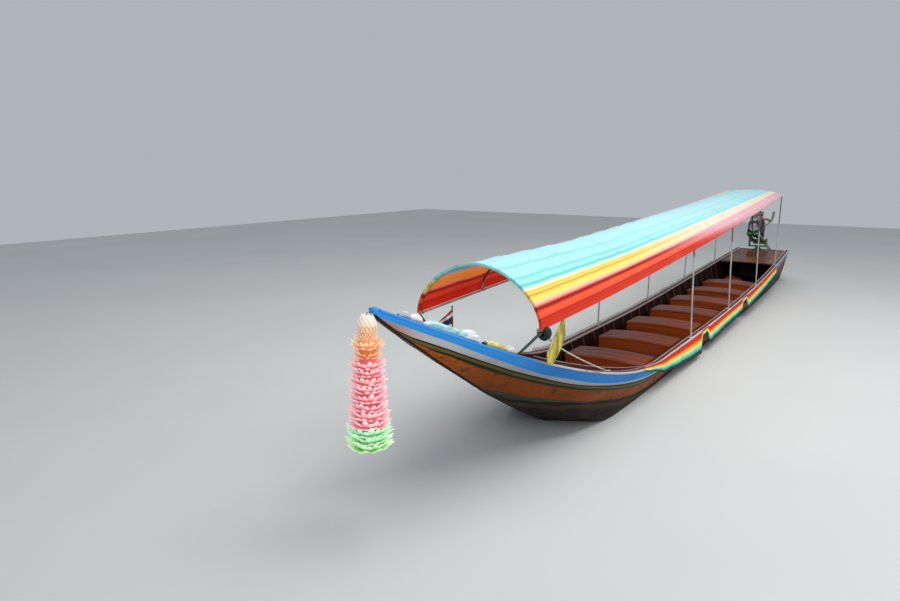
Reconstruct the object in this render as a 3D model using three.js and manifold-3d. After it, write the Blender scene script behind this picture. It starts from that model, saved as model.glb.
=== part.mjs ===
// A canal longtail boat, in millimetres: +X to the bow, +Y to port, +Z up.
// The origin is amidships on the waterline. Stations are counted aft from the bow tip.
import * as THREE from "three";
import { mergeVertices } from "three/addons/utils/BufferGeometryUtils.js";
import Module from "manifold-3d";

const wasm = await Module();
wasm.setup();

// Hull
const HULL_LENGTH = 15000;
const BOW_X = HULL_LENGTH / 2;
const TIP_HALF_WIDTH = 40;
const HALF_BEAM = 717;
const BOW_TAPER_LENGTH = 4030;
const STERN_TAPER_START = 9500;
const STERN_NARROWING = 117;
const FREEBOARD = 355;
const BOW_RISE = 1380;
const BOW_RISE_LENGTH = 4600;
const STERN_RISE = 335;
const STERN_RISE_START = 7000;
const DRAUGHT = 190;
const STEM_TOP = 1690;
const STEM_RUN = 3400;
const BOTTOM_LIFT = 110;
const BOTTOM_LIFT_START = 13000;
const CHINE_HEIGHT_SHARE = 0.2;
const TRANSOM_RAKE = 0.22;
const RAKE_START = 13300;
const PLANK = 22;
const GAP = 0.3;
const TRANSOM_THICKNESS = 30;

// Decks, floor and covering boards
const DECK_THICKNESS = 20;
const DECK_CROWN = 15;
const FOREDECK_END = 1950;
const AFT_DECK_START = 13300;
const FLOOR_Z = -46;
const FLOOR_THICKNESS = 18;
const FLOOR_START = 2250;
const FLOOR_LEVEL_START = 4280;
const FLOOR_END = 13250;
const COVERING_WIDTH = 90;
const COVERING_OVERHANG = 12;
const COVERING_THICKNESS = 22;

// Benches
const BENCH_COUNT = 7;
const BENCH_START = 4480;
const BENCH_PITCH = 1165;
const BENCH_DEPTH = 500;
const BENCH_HALF_WIDTH = 520;
const BENCH_TOP = 336;
const BENCH_CROWN = 26;
const BENCH_BOARD = 28;
const FASCIA_HEIGHT = 190;

// Canopy frame and cloth
const PIPE_RADIUS = 11;
const POST_STATION = 6026;
const POST_PITCH = 2307;
const FRONT_BOW_STATION = 1419;
const FRONT_BOW_HALF_WIDTH = 638;
const CANOPY_HALF_WIDTH = 663;
const CANOPY_WIDENING = 2200;
const ARCH_POWER = 1.78;
const BOW_FOOT_DROP = 26;
const RAIL_INSET = 2 * PIPE_RADIUS + 0.8;
const RAIL_DROP = 14;
const STRUT_RADIUS = 13;
const CLOTH_THICKNESS = 6;
const CLOTH_SKIRT = 12;
const CLOTH_OVERHANG = 24;
const CLOTH_SEGMENTS = 20;
const ROPE_RADIUS = 7;

// Stern drive
const PIVOT_X = -6950;
const TRUNNION_Z = 980;
const SHAFT_SLOPE = THREE.MathUtils.degToRad(17);
const SHAFT_HEIGHT = 130;
const TUBE_END = -4050;
const BED_HALF_WIDTH = 190;
const PROPELLER_RADIUS = 125;

// Evenly spaced stations from one to another, both ends included.
const stations = (from, to, count) =>
  Array.from({ length: count + 1 }, (_, i) => from + ((to - from) * i) / count);

// The hull's stations: close together over the bow, where it curves most.
const PLANK_END = HULL_LENGTH - TRANSOM_THICKNESS;
const SCARF_STATION = 3400; // the raised bow's planks are joined to the long ones here
const HULL_STATIONS = [
  ...stations(0, 1, 18).map((t) => BOW_RISE_LENGTH * t ** 1.3),
  ...stations(BOW_RISE_LENGTH, STERN_TAPER_START, 4).slice(1),
  ...stations(STERN_TAPER_START, PLANK_END, 9).slice(1),
];

// Straightens a curve between the hull's stations, so that neighbouring pieces meet.
function faceted(curve) {
  const values = HULL_STATIONS.map(curve);
  return (s) => {
    const at = Math.min(Math.max(s, 0), PLANK_END);
    const i = Math.max(1, HULL_STATIONS.findIndex((station) => station >= at));
    const share = (at - HULL_STATIONS[i - 1]) / (HULL_STATIONS[i] - HULL_STATIONS[i - 1]);
    return values[i - 1] + share * (values[i] - values[i - 1]);
  };
}
const stationsBetween = (from, to) => [
  from,
  ...HULL_STATIONS.filter((s) => s > from + 1 && s < to - 1),
  to,
];

// Shape of the hull
const clamp01 = (value) => Math.min(1, Math.max(0, value));
const bowRise = (s) => BOW_RISE * clamp01(1 - s / BOW_RISE_LENGTH) ** 1.6;
const sheerZ = faceted(
  (s) =>
    FREEBOARD +
    bowRise(s) +
    STERN_RISE * clamp01((s - STERN_RISE_START) / (HULL_LENGTH - STERN_RISE_START)) ** 1.6,
);
const halfBeam = faceted(
  (s) =>
    TIP_HALF_WIDTH +
    (HALF_BEAM - TIP_HALF_WIDTH) * (1 - clamp01(1 - s / BOW_TAPER_LENGTH) ** 2.2) -
    STERN_NARROWING * clamp01((s - STERN_TAPER_START) / (HULL_LENGTH - STERN_TAPER_START)) ** 2,
);
const keelZ = faceted(
  (s) =>
    -DRAUGHT +
    (STEM_TOP + DRAUGHT) * clamp01(1 - s / STEM_RUN) ** 1.25 +
    BOTTOM_LIFT * clamp01((s - BOTTOM_LIFT_START) / (HULL_LENGTH - BOTTOM_LIFT_START)) ** 2,
);
const chineZ = faceted(
  (s) => keelZ(s) + CHINE_HEIGHT_SHARE * (FREEBOARD + bowRise(s) - keelZ(s)),
);
// The bottom starts as a narrow stem plank and widens to most of the beam.
const chineY = faceted((s) => {
  const t = clamp01((s - 900) / 1900);
  const full = t * t * (3 - 2 * t);
  const stemPlank = 50 + 100 * clamp01(s / 1000);
  return Math.min(0.78 * halfBeam(s), (1 - full) * stemPlank + full * 0.8 * halfBeam(s));
});
const bilgeZ = faceted((s) => (chineZ(s) + sheerZ(s)) / 2);
const bilgeY = faceted((s) => (chineY(s) + halfBeam(s)) / 2 + 0.018 * halfBeam(s));

// Half width inside the side planking at a height.
function insideY(s, z) {
  const upper = z > bilgeZ(s);
  const [y0, z0] = upper ? [bilgeY(s), bilgeZ(s)] : [chineY(s), chineZ(s)];
  const [y1, z1] = upper ? [halfBeam(s), sheerZ(s)] : [bilgeY(s), bilgeZ(s)];
  return y0 + ((y1 - y0) * (z - z0)) / (z1 - z0) - PLANK;
}

// The stern stations lean aft with height, so that the transom is raked.
const leanAt = (s) => TRANSOM_RAKE * clamp01((s - RAKE_START) / (HULL_LENGTH - RAKE_START));
const place = (s, y, z) => [BOW_X - s - leanAt(s) * z, y, z];

// Solids
function volumeOf(positions, index) {
  const corner = (i) => new THREE.Vector3(...positions[index[i]]);
  let sum = 0;
  for (let i = 0; i < index.length; i += 3)
    sum += corner(i).dot(corner(i + 1).cross(corner(i + 2)));
  return sum / 6;
}

function closedGeometry(positions, index) {
  if (volumeOf(positions, index) < 0)
    for (let i = 0; i < index.length; i += 3)
      [index[i + 1], index[i + 2]] = [index[i + 2], index[i + 1]];
  const geometry = new THREE.BufferGeometry();
  geometry.setAttribute("position", new THREE.Float32BufferAttribute(positions.flat(), 3));
  geometry.setIndex(index);
  return geometry;
}

// The triangles that close a flat ring, all turning the same way as the ring.
function capOf(ring) {
  const normal = new THREE.Vector3();
  ring.forEach((p, i) => {
    const a = new THREE.Vector3(...p);
    const b = new THREE.Vector3(...ring[(i + 1) % ring.length]);
    normal.add(a.cross(b));
  });
  const size = normal.toArray().map(Math.abs);
  const flat = size.indexOf(Math.max(...size));
  const [u, v] = [0, 1, 2].filter((k) => k !== flat);
  const outline = ring.map((p) => new THREE.Vector2(p[u], p[v]));
  const ringTurn = Math.sign(THREE.ShapeUtils.area(outline));
  return THREE.ShapeUtils.triangulateShape(outline, []).map(([a, b, c]) => {
    const turn = Math.sign(
      outline[b].clone().sub(outline[a]).cross(outline[c].clone().sub(outline[a])),
    );
    return turn === ringTurn ? [a, b, c] : [a, c, b];
  });
}

// Joins rings that have the same number of points into one body and closes both ends.
function loft(rings) {
  const n = rings[0].length;
  const index = [];
  for (let r = 0; r + 1 < rings.length; r++)
    for (let i = 0; i < n; i++) {
      const a = r * n + i;
      const b = r * n + ((i + 1) % n);
      index.push(a, b, b + n, a, b + n, a + n);
    }
  const last = rings.length - 1;
  for (const [a, b, c] of capOf(rings[0])) index.push(a, c, b);
  for (const [a, b, c] of capOf(rings[last])) index.push(a + last * n, b + last * n, c + last * n);
  return closedGeometry(rings.flat(), index);
}

// One manifold solid of a geometry, and the geometry of a solid.
function solidOf(geometry) {
  const bare = new THREE.BufferGeometry();
  bare.setAttribute("position", geometry.getAttribute("position"));
  if (geometry.index) bare.setIndex(geometry.index);
  const merged = mergeVertices(bare, 1e-3);
  return new wasm.Manifold(
    new wasm.Mesh({
      numProp: 3,
      vertProperties: new Float32Array(merged.getAttribute("position").array),
      triVerts: new Uint32Array(merged.index.array),
    }),
  );
}

function geometryOf(solid) {
  const { vertProperties, triVerts } = solid.getMesh();
  const geometry = new THREE.BufferGeometry();
  geometry.setAttribute("position", new THREE.BufferAttribute(vertProperties, 3));
  geometry.setIndex(new THREE.BufferAttribute(triVerts, 1));
  return geometry;
}

const join = (...pieces) => geometryOf(pieces.map(solidOf).reduce((a, b) => a.add(b)));

const box = (x0, x1, y0, y1, z0, z1) =>
  new THREE.BoxGeometry(x1 - x0, y1 - y0, z1 - z0).translate(
    (x0 + x1) / 2,
    (y0 + y1) / 2,
    (z0 + z1) / 2,
  );

// A round bar between two points.
function bar(from, to, radius, sides = 10, endRadius = radius) {
  const a = new THREE.Vector3(...from);
  const b = new THREE.Vector3(...to);
  const along = b.clone().sub(a);
  return new THREE.CylinderGeometry(endRadius, radius, along.length(), sides)
    .applyQuaternion(
      new THREE.Quaternion().setFromUnitVectors(
        new THREE.Vector3(0, 1, 0),
        along.clone().normalize(),
      ),
    )
    .translate(...a.add(b).multiplyScalar(0.5).toArray());
}

// A bar of round section along a smooth line through the points.
function bentBar(points, radius, steps, sides = 8) {
  const section = new THREE.Shape();
  section.absarc(0, 0, radius, 0, 2 * Math.PI);
  return new THREE.ExtrudeGeometry(section, {
    steps,
    bevelEnabled: false,
    curveSegments: sides / 2,
    extrudePath: new THREE.CatmullRomCurve3(
      points.map((p) => new THREE.Vector3(...p)),
      false,
      "centripetal",
    ),
  });
}

// A round pipe that turns at each point; the upright is never along the pipe.
function pipe(points, radius, upright, count = 8) {
  const line = points.map((p) => new THREE.Vector3(...p));
  const rings = line.map((p, i) => {
    const before = line[Math.max(0, i - 1)];
    const after = line[Math.min(line.length - 1, i + 1)];
    const along = p.clone().sub(before).normalize().add(after.clone().sub(p).normalize());
    const across = new THREE.Vector3(...upright).projectOnPlane(along.normalize()).normalize();
    const third = along.clone().cross(across);
    return stations(0, 2 * Math.PI, count)
      .slice(0, -1)
      .map((a) =>
        p
          .clone()
          .addScaledVector(across, radius * Math.cos(a))
          .addScaledVector(third, radius * Math.sin(a))
          .toArray(),
      );
  });
  return loft(rings);
}

// A turned piece about the vertical line through (x, y); the profile lists [radius, z].
const turned = (x, y, profile, segments = 20) =>
  new THREE.LatheGeometry(
    profile.map(([r, z]) => new THREE.Vector2(r, z)),
    segments,
  )
    .rotateX(Math.PI / 2)
    .translate(x, y, 0);

const model = new THREE.Group();

function addTo(group, name, geometry, color, roughness, metalness = 0) {
  const mesh = new THREE.Mesh(
    geometry,
    new THREE.MeshStandardMaterial({ color, roughness, metalness }),
  );
  mesh.name = name;
  group.add(mesh);
}
const add = (...piece) => addTo(model, ...piece);
const sides = [
  ["port", 1],
  ["starboard", -1],
];

// Hull planking: a bottom in a shallow V and two flared sides that stand on its edges
function makeHull() {
  const bottomRing = (s) => {
    const edge = chineZ(s) - GAP;
    const rise = Math.min(PLANK, edge - keelZ(s) - 2);
    return [
      place(s, chineY(s), edge - PLANK),
      place(s, chineY(s), edge),
      place(s, 0, keelZ(s) + rise),
      place(s, -chineY(s), edge),
      place(s, -chineY(s), edge - PLANK),
      place(s, 0, Math.min(keelZ(s), edge - PLANK - 1)),
    ];
  };
  const bow = stationsBetween(0, SCARF_STATION - GAP);
  const main = stationsBetween(SCARF_STATION, PLANK_END);
  add("bow_bottom", loft(bow.map(bottomRing)), 0x5a1714, 0.5);
  add("hull_bottom", loft(main.map(bottomRing)), 0x5a1714, 0.5);
  for (const [name, side] of sides) {
    const ring = (s) => [
      place(s, side * chineY(s), chineZ(s)),
      place(s, side * bilgeY(s), bilgeZ(s)),
      place(s, side * halfBeam(s), sheerZ(s)),
      place(s, side * (halfBeam(s) - PLANK), sheerZ(s)),
      place(s, side * (bilgeY(s) - PLANK), bilgeZ(s)),
      place(s, side * (chineY(s) - PLANK), chineZ(s)),
    ];
    add(`bow_side_${name}`, loft(bow.map(ring)), 0x9a4a14, 0.35);
    add(`hull_side_${name}`, loft(main.map(ring)), 0x9a4a14, 0.35);
  }
  const s = PLANK_END + GAP;
  const transomRing = (at) => [
    place(at, chineY(at), chineZ(at)),
    place(at, halfBeam(at), sheerZ(at)),
    place(at, 0, sheerZ(at) + DECK_CROWN),
    place(at, -halfBeam(at), sheerZ(at)),
    place(at, -chineY(at), chineZ(at)),
    place(at, 0, keelZ(at)),
  ];
  add("transom", loft([transomRing(s), transomRing(HULL_LENGTH)]), 0x9c2a22, 0.4);
}

// Decks, crowned and let in between the sides
const deckZ = (s, y) =>
  sheerZ(s) - 2 - (DECK_CROWN * Math.abs(y)) / HALF_BEAM;

// The sides twist at the bow, so the deck edge is trimmed back there.
const bowTrim = (s) => 9 * clamp01((800 - s) / 500);

function makeDeck(name, from, to, color) {
  const ring = (s) => {
    const edgeZ = deckZ(s, halfBeam(s));
    const top = Math.max(4, insideY(s, edgeZ) - 2 * GAP - bowTrim(s));
    const low = Math.max(4, insideY(s, edgeZ - DECK_THICKNESS) - 2 * GAP - bowTrim(s));
    return [
      place(s, top, edgeZ),
      place(s, 0, deckZ(s, 0)),
      place(s, -top, edgeZ),
      place(s, -low, edgeZ - DECK_THICKNESS),
      place(s, 0, deckZ(s, 0) - DECK_THICKNESS),
      place(s, low, edgeZ - DECK_THICKNESS),
    ];
  };
  add(name, loft(stationsBetween(from, to).map(ring)), color, 0.5);
}

// A solid stem block between the two sides, under the foredeck
function makeStem() {
  const ring = (s) => {
    const low = chineZ(s) + 2;
    const high = deckZ(s, halfBeam(s)) - DECK_THICKNESS - 2 * GAP;
    const bottom = insideY(s, low) - 1 - bowTrim(s);
    const top = insideY(s, high) - 1 - bowTrim(s);
    return [
      place(s, bottom, low),
      place(s, top, high),
      place(s, -top, high),
      place(s, -bottom, low),
    ];
  };
  add("stem_block", loft(stationsBetween(260, 640).map(ring)), 0x6b2f12, 0.5);
}

// Covering boards along the top of both sides
const boardTop = (s) => sheerZ(s) + GAP + COVERING_THICKNESS;

function makeCoveringBoards() {
  for (const [name, side] of sides) {
    const ring = (s) => {
      const outer = halfBeam(s) + COVERING_OVERHANG;
      const inner = Math.max(GAP, halfBeam(s) - COVERING_WIDTH);
      return [
        place(s, side * inner, sheerZ(s) + GAP),
        place(s, side * outer, sheerZ(s) + GAP),
        place(s, side * outer, boardTop(s)),
        place(s, side * inner, boardTop(s)),
      ];
    };
    add(
      `covering_board_${name}`,
      loft(stationsBetween(10, PLANK_END).map(ring)),
      0x7c2430,
      0.5,
    );
  }
}

// Floor boards: level amidships, rising with the chine towards the bow
function makeFloor() {
  const ring = (s) => {
    const top = Math.max(FLOOR_Z, chineZ(s) + FLOOR_THICKNESS + 12);
    const upper = insideY(s, top) - 3 * GAP;
    const lower = insideY(s, top - FLOOR_THICKNESS) - 3 * GAP;
    return [
      place(s, upper, top),
      place(s, -upper, top),
      place(s, -lower, top - FLOOR_THICKNESS),
      place(s, lower, top - FLOOR_THICKNESS),
    ];
  };
  const rising = stationsBetween(FLOOR_START, FLOOR_LEVEL_START);
  const level = stationsBetween(FLOOR_LEVEL_START, FLOOR_END).slice(1);
  add("floor_boards", loft([...rising, ...level].map(ring)), 0x8a4317, 0.4);
}

// Cross benches: a crowned seat on two end boards, with a fascia under the front edge
function makeBenches() {
  const seatZ = (y) => BENCH_TOP - BENCH_CROWN * (y / BENCH_HALF_WIDTH) ** 2;
  const across = stations(-BENCH_HALF_WIDTH, BENCH_HALF_WIDTH, 8);
  const inside = stations(BENCH_HALF_WIDTH - BENCH_BOARD, BENCH_BOARD - BENCH_HALF_WIDTH, 8);
  const foot = FLOOR_Z + GAP;
  for (let i = 0; i < BENCH_COUNT; i++) {
    const front = BOW_X - BENCH_START - i * BENCH_PITCH;
    const seatRing = (x) => [
      [x, -BENCH_HALF_WIDTH, foot],
      ...across.map((y) => [x, y, seatZ(y)]),
      [x, BENCH_HALF_WIDTH, foot],
      [x, BENCH_HALF_WIDTH - BENCH_BOARD, foot],
      ...inside.map((y) => [x, y, seatZ(y) - BENCH_BOARD]),
      [x, BENCH_BOARD - BENCH_HALF_WIDTH, foot],
    ];
    const fasciaRing = (x) => [
      ...across.map((y) => [x, y, seatZ(y) - 4]),
      [x, BENCH_HALF_WIDTH, BENCH_TOP - FASCIA_HEIGHT],
      [x, -BENCH_HALF_WIDTH, BENCH_TOP - FASCIA_HEIGHT],
    ];
    add(
      `bench_${i + 1}`,
      join(
        loft([seatRing(front), seatRing(front - BENCH_DEPTH)]),
        loft([fasciaRing(front - 8), fasciaRing(front - 8 - BENCH_BOARD)]),
      ),
      0x8a4317,
      0.3,
    );
  }
}

// Canopy: height of its side rails and of its ridge, and its half width, along the boat
const railZ = (s) => {
  const aft = s - FRONT_BOW_STATION;
  return 1410 + 0.04 * aft + 1.9e-6 * aft * aft;
};
const ridgeZ = (s) => 1908 + 0.036 * Math.max(0, s - 3800);
const canopyHalfWidth = (s) =>
  CANOPY_HALF_WIDTH -
  (CANOPY_HALF_WIDTH - FRONT_BOW_HALF_WIDTH) *
    clamp01(1 - (s - FRONT_BOW_STATION) / CANOPY_WIDENING) ** 2;

// The arch line at a station, from port to starboard, moved outwards by an offset.
function archLine(s, offset, count) {
  const half = canopyHalfWidth(s);
  const rise = ridgeZ(s) - railZ(s);
  return stations(0, Math.PI, count).map((angle) => {
    const c = Math.cos(angle);
    const q = Math.sin(angle);
    const y = Math.sign(c) * Math.abs(c) ** (2 / ARCH_POWER) * half;
    const z = railZ(s) + Math.max(0, q) ** (2 / ARCH_POWER) * rise;
    const out = new THREE.Vector2(y / half ** 2, (z - railZ(s)) / rise ** 2).normalize();
    return [BOW_X - s, y + out.x * offset, z + out.y * offset];
  });
}

const bowStations = [
  ...stations(FRONT_BOW_STATION, POST_STATION, 4),
  ...stations(POST_STATION, POST_STATION + 3 * POST_PITCH, 6).slice(1),
];
const hasPosts = (s) => s >= POST_STATION && Math.abs((s - POST_STATION) % POST_PITCH) < 1;

function makeCanopyFrame() {
  bowStations.forEach((s, i) => {
    const x = BOW_X - s;
    const half = canopyHalfWidth(s);
    const legs = hasPosts(s);
    const footZ = boardTop(s) + 1.2;
    const footY = halfBeam(s) - 25;
    const down = (side) =>
      legs
        ? [
            [x, side * half, railZ(s) - 60],
            [x, side * footY, footZ + 60],
            [x, side * footY, footZ],
          ]
        : [[x, side * half, railZ(s) - BOW_FOOT_DROP]];
    const line = [...down(1).reverse(), ...archLine(s, 0, CLOTH_SEGMENTS), ...down(-1)];
    add(`canopy_bow_${i + 1}`, pipe(line, PIPE_RADIUS, [1, 0, 0]), 0xb9bcc0, 0.35, 0.8);
  });
  for (const [name, side] of sides) {
    const line = bowStations.map((s) => [
      BOW_X - s,
      side * (canopyHalfWidth(s) - RAIL_INSET),
      railZ(s) - RAIL_DROP,
    ]);
    line[0][0] += 30;
    line[0][1] -= side * 2;
    line[line.length - 1][0] -= 30;
    add(`canopy_rail_${name}`, pipe(line, PIPE_RADIUS, [0, 0, 1]), 0xb9bcc0, 0.35, 0.8);
    const footStation = FRONT_BOW_STATION - 10;
    const foot = [
      BOW_X - footStation,
      side * (halfBeam(footStation) - 20),
      boardTop(footStation) + STRUT_RADIUS - 1,
    ];
    const head = [
      BOW_X - FRONT_BOW_STATION,
      side * FRONT_BOW_HALF_WIDTH,
      railZ(FRONT_BOW_STATION) - BOW_FOOT_DROP - STRUT_RADIUS / 2 - 2.4,
    ];
    add(`canopy_strut_${name}`, bar(foot, head, STRUT_RADIUS), 0x2b3136, 0.5, 0.6);
  }
}

function makeCanopyCloth() {
  const first = bowStations[0];
  const last = bowStations[bowStations.length - 1];
  const along = [first - CLOTH_OVERHANG, ...bowStations, last + CLOTH_OVERHANG];
  const ring = (s) => {
    const inner = PIPE_RADIUS + 0.7 + s / 16000;
    const hem = railZ(s) - CLOTH_SKIRT;
    const half = canopyHalfWidth(s) + inner;
    return [
      [BOW_X - s, half + CLOTH_THICKNESS, hem],
      ...archLine(s, inner + CLOTH_THICKNESS, CLOTH_SEGMENTS),
      [BOW_X - s, -half - CLOTH_THICKNESS, hem],
      [BOW_X - s, -half, hem],
      ...archLine(s, inner, CLOTH_SEGMENTS).reverse(),
      [BOW_X - s, half, hem],
    ];
  };
  add("canopy_cloth", loft(along.map(ring)), 0xd8503a, 0.8);
}

// Cloth strips hung along the gunwales beside the benches: [station, drop of the hem]
const HEM = [
  [3950, 60],
  [4300, 95],
  [4700, 190],
  [5166, 250],
  [5900, 310],
  [6420, 340],
  [6520, 110],
  [6820, 110],
  [6920, 290],
  [8000, 250],
  [9200, 250],
  [9300, 110],
  [9600, 110],
  [9700, 290],
  [11200, 260],
  [12900, 220],
];

function makeSideCloths() {
  for (const [name, side] of sides) {
    const ring = ([s, drop]) => {
      const top = sheerZ(s) + 50;
      const inner = halfBeam(s) + COVERING_OVERHANG + 1.3;
      const flare = 4 + drop / 16;
      return [
        [BOW_X - s, side * inner, top],
        [BOW_X - s, side * (inner + 5), top],
        [BOW_X - s, side * (inner + 5 + flare), top - drop],
        [BOW_X - s, side * (inner + flare), top - drop],
      ];
    };
    add(`side_cloth_${name}`, loft(HEM.map(ring)), 0xe08a4a, 0.8);
  }
}

// Flower garland hung from the bow tip: a ball above thirteen flared tiers, each with its
// rim height and rim radius, listed from the bottom
const GARLAND_TIERS = [
  [757, 180],
  [812, 178],
  [868, 180],
  [925, 170],
  [990, 168],
  [1050, 157],
  [1118, 158],
  [1185, 147],
  [1243, 150],
  [1305, 135],
  [1361, 145],
  [1430, 110],
  [1505, 136],
];
const GARLAND_BALL = [
  [48, 1545],
  [44, 1582],
  [74, 1620],
  [74, 1645],
  [68.6, 1670],
  [68.3, 1692],
  [50, 1708],
  [0, 1712],
];

function makeGarland() {
  const foot = [0, 706];
  const tiers = GARLAND_TIERS.flatMap(([height, rim]) => [
    [rim * 0.62, height - 30],
    [rim * 0.97, height],
    [rim * 0.66, height + 7],
  ]);
  const profile = [foot, [GARLAND_TIERS[0][1] * 0.5, 710], ...tiers, ...GARLAND_BALL];
  add("bow_garland", turned(BOW_X + 69, 0, profile, 24), 0xd6417c, 0.9);
}

// Cloth bundles tied along the port edge of the foredeck
function makeBowCloths() {
  const bundle = (name, from, to, sizes, color) => {
    const rings = stations(from, to, sizes.length - 1).map((s, i) => {
      const r = sizes[i];
      const y = halfBeam(s) - 40;
      const z = boardTop(s) + 0.5;
      return stations(0, 2 * Math.PI, 12)
        .slice(0, -1)
        .map((a) => [BOW_X - s, y + r * Math.cos(a), z + r * (1 + Math.sin(a)) * 0.75]);
    });
    add(name, loft(rings), color, 0.9);
  };
  bundle("bow_knot", 195, 402, [12, 38, 42, 26, 44, 46, 16], 0xe9d8de);
  bundle("bow_cloth_pale", 409, 962, [14, 40, 46, 42, 46, 38, 60, 62, 20], 0xbfe6e6);
  bundle("bow_cloth_yellow", 1000, 1385, [16, 34, 42, 40, 30, 48, 20], 0xe6d98c);
}

// A small flag on a staff that stands on the foredeck. The cloth droops towards the bow.
function makeFlag() {
  const s = 1030;
  const staffHeight = 310;
  const lean = 12;
  const hoist = 200;
  const fly = 150;
  const heading = (-56 * Math.PI) / 180;
  const along = [Math.cos(heading), Math.sin(heading)];
  const across = [-along[1], along[0]];
  const x = BOW_X - s;
  const foot = deckZ(s, 0) + 3.5;
  const staff = bar([x, 0, foot], [x + lean, 0, foot + staffHeight], 6, 8);
  const cloth = loft(
    [0, 1, 2, 3].map((i) => {
      const u = i / 3;
      const sway = 9 * Math.sin(i * 1.7);
      const top = foot + staffHeight - 8 - fly * u;
      const bottom = foot + staffHeight - 8 - hoist + 20 * u;
      const at = (reach, side, z) => [
        x + lean + along[0] * reach + across[0] * side,
        along[1] * reach + across[1] * side,
        z,
      ];
      const reach = fly * u - 2;
      return [
        at(reach, sway - 3, top),
        at(reach, sway + 3, top),
        at(reach - 6, sway + 3, bottom),
        at(reach - 6, sway - 3, bottom),
      ];
    }),
  );
  add("bow_flag", join(staff, cloth), 0xe8e0e0, 0.8);
}

// Scarf that hangs from the port canopy rail: [drop, half width, sway outboard]
function makeScarf() {
  const s = 1745;
  const x = BOW_X - s;
  const top = railZ(s) - RAIL_DROP - PIPE_RADIUS;
  const y = canopyHalfWidth(s) - RAIL_INSET;
  const rings = [
    [0, 22, 0],
    [80, 90, 8],
    [170, 150, 16],
    [260, 150, 10],
    [340, 96, 18],
  ].map(([drop, half, sway]) => [
    [x - half, y - 6 + sway, top - drop],
    [x + half, y - 6 + sway, top - drop],
    [x + half, y + 8 + sway, top - drop],
    [x - half, y + 8 + sway, top - drop],
  ]);
  add("yellow_scarf", loft(rings), 0xcdb21f, 0.9);
}

// Mooring line slung from the port canopy rail down to the covering board
function makeRope() {
  const route = [
    [6000, 617, 1387.8],
    [6000, 617, 1372],
    [5900, 605, 1290],
    [5623, 600, 1136],
    [5265, 592, 970],
    [4910, 604, 812],
    [4640, 634, 694],
    [4520, 640, 645.5],
    [4440, 640, 625.5],
  ];
  add("bow_rope", bentBar(route, ROPE_RADIUS, 40), 0xe6e2d8, 0.9);
}

// Stern drive: a timber bed, a post, a yoke that steers and a cradle that tilts
const tilting = new THREE.Group();
tilting.position.set(PIVOT_X, 0, TRUNNION_Z);
tilting.rotation.y = -SHAFT_SLOPE;
model.add(tilting);
const addTilting = (...piece) => addTo(tilting, ...piece);

function makeEngineSupport() {
  const bedTop = 745;
  const bedRing = (s) => {
    const low = deckZ(s, 0) + GAP;
    return [
      place(s, BED_HALF_WIDTH, low),
      place(s, BED_HALF_WIDTH, bedTop),
      place(s, -BED_HALF_WIDTH, bedTop),
      place(s, -BED_HALF_WIDTH, low),
    ];
  };
  add("engine_bed", loft(stationsBetween(14130, 14590).map(bedRing)), 0x7a3c18, 0.6);
  const postProfile = [
    [0, bedTop + GAP],
    [120, bedTop + GAP],
    [120, bedTop + 16],
    [62, bedTop + 26],
    [56, 830],
    [0, 830],
  ];
  add("pivot_post", turned(PIVOT_X, 0, postProfile, 20), 0x2f6b3c, 0.5, 0.4);
  const yoke = new THREE.Shape();
  yoke.moveTo(-205, 830.4);
  yoke.lineTo(205, 830.4);
  yoke.lineTo(205, 1035);
  yoke.lineTo(181, 1035);
  yoke.lineTo(181, 856);
  yoke.lineTo(-181, 856);
  yoke.lineTo(-181, 1035);
  yoke.lineTo(-205, 1035);
  const fork = new THREE.ExtrudeGeometry(yoke, { depth: 130, bevelEnabled: false })
    .rotateX(Math.PI / 2)
    .rotateZ(Math.PI / 2)
    .translate(PIVOT_X - 65, 0, 0);
  add("swivel_yoke", fork, 0x2f6b3c, 0.5, 0.4);
}

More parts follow.
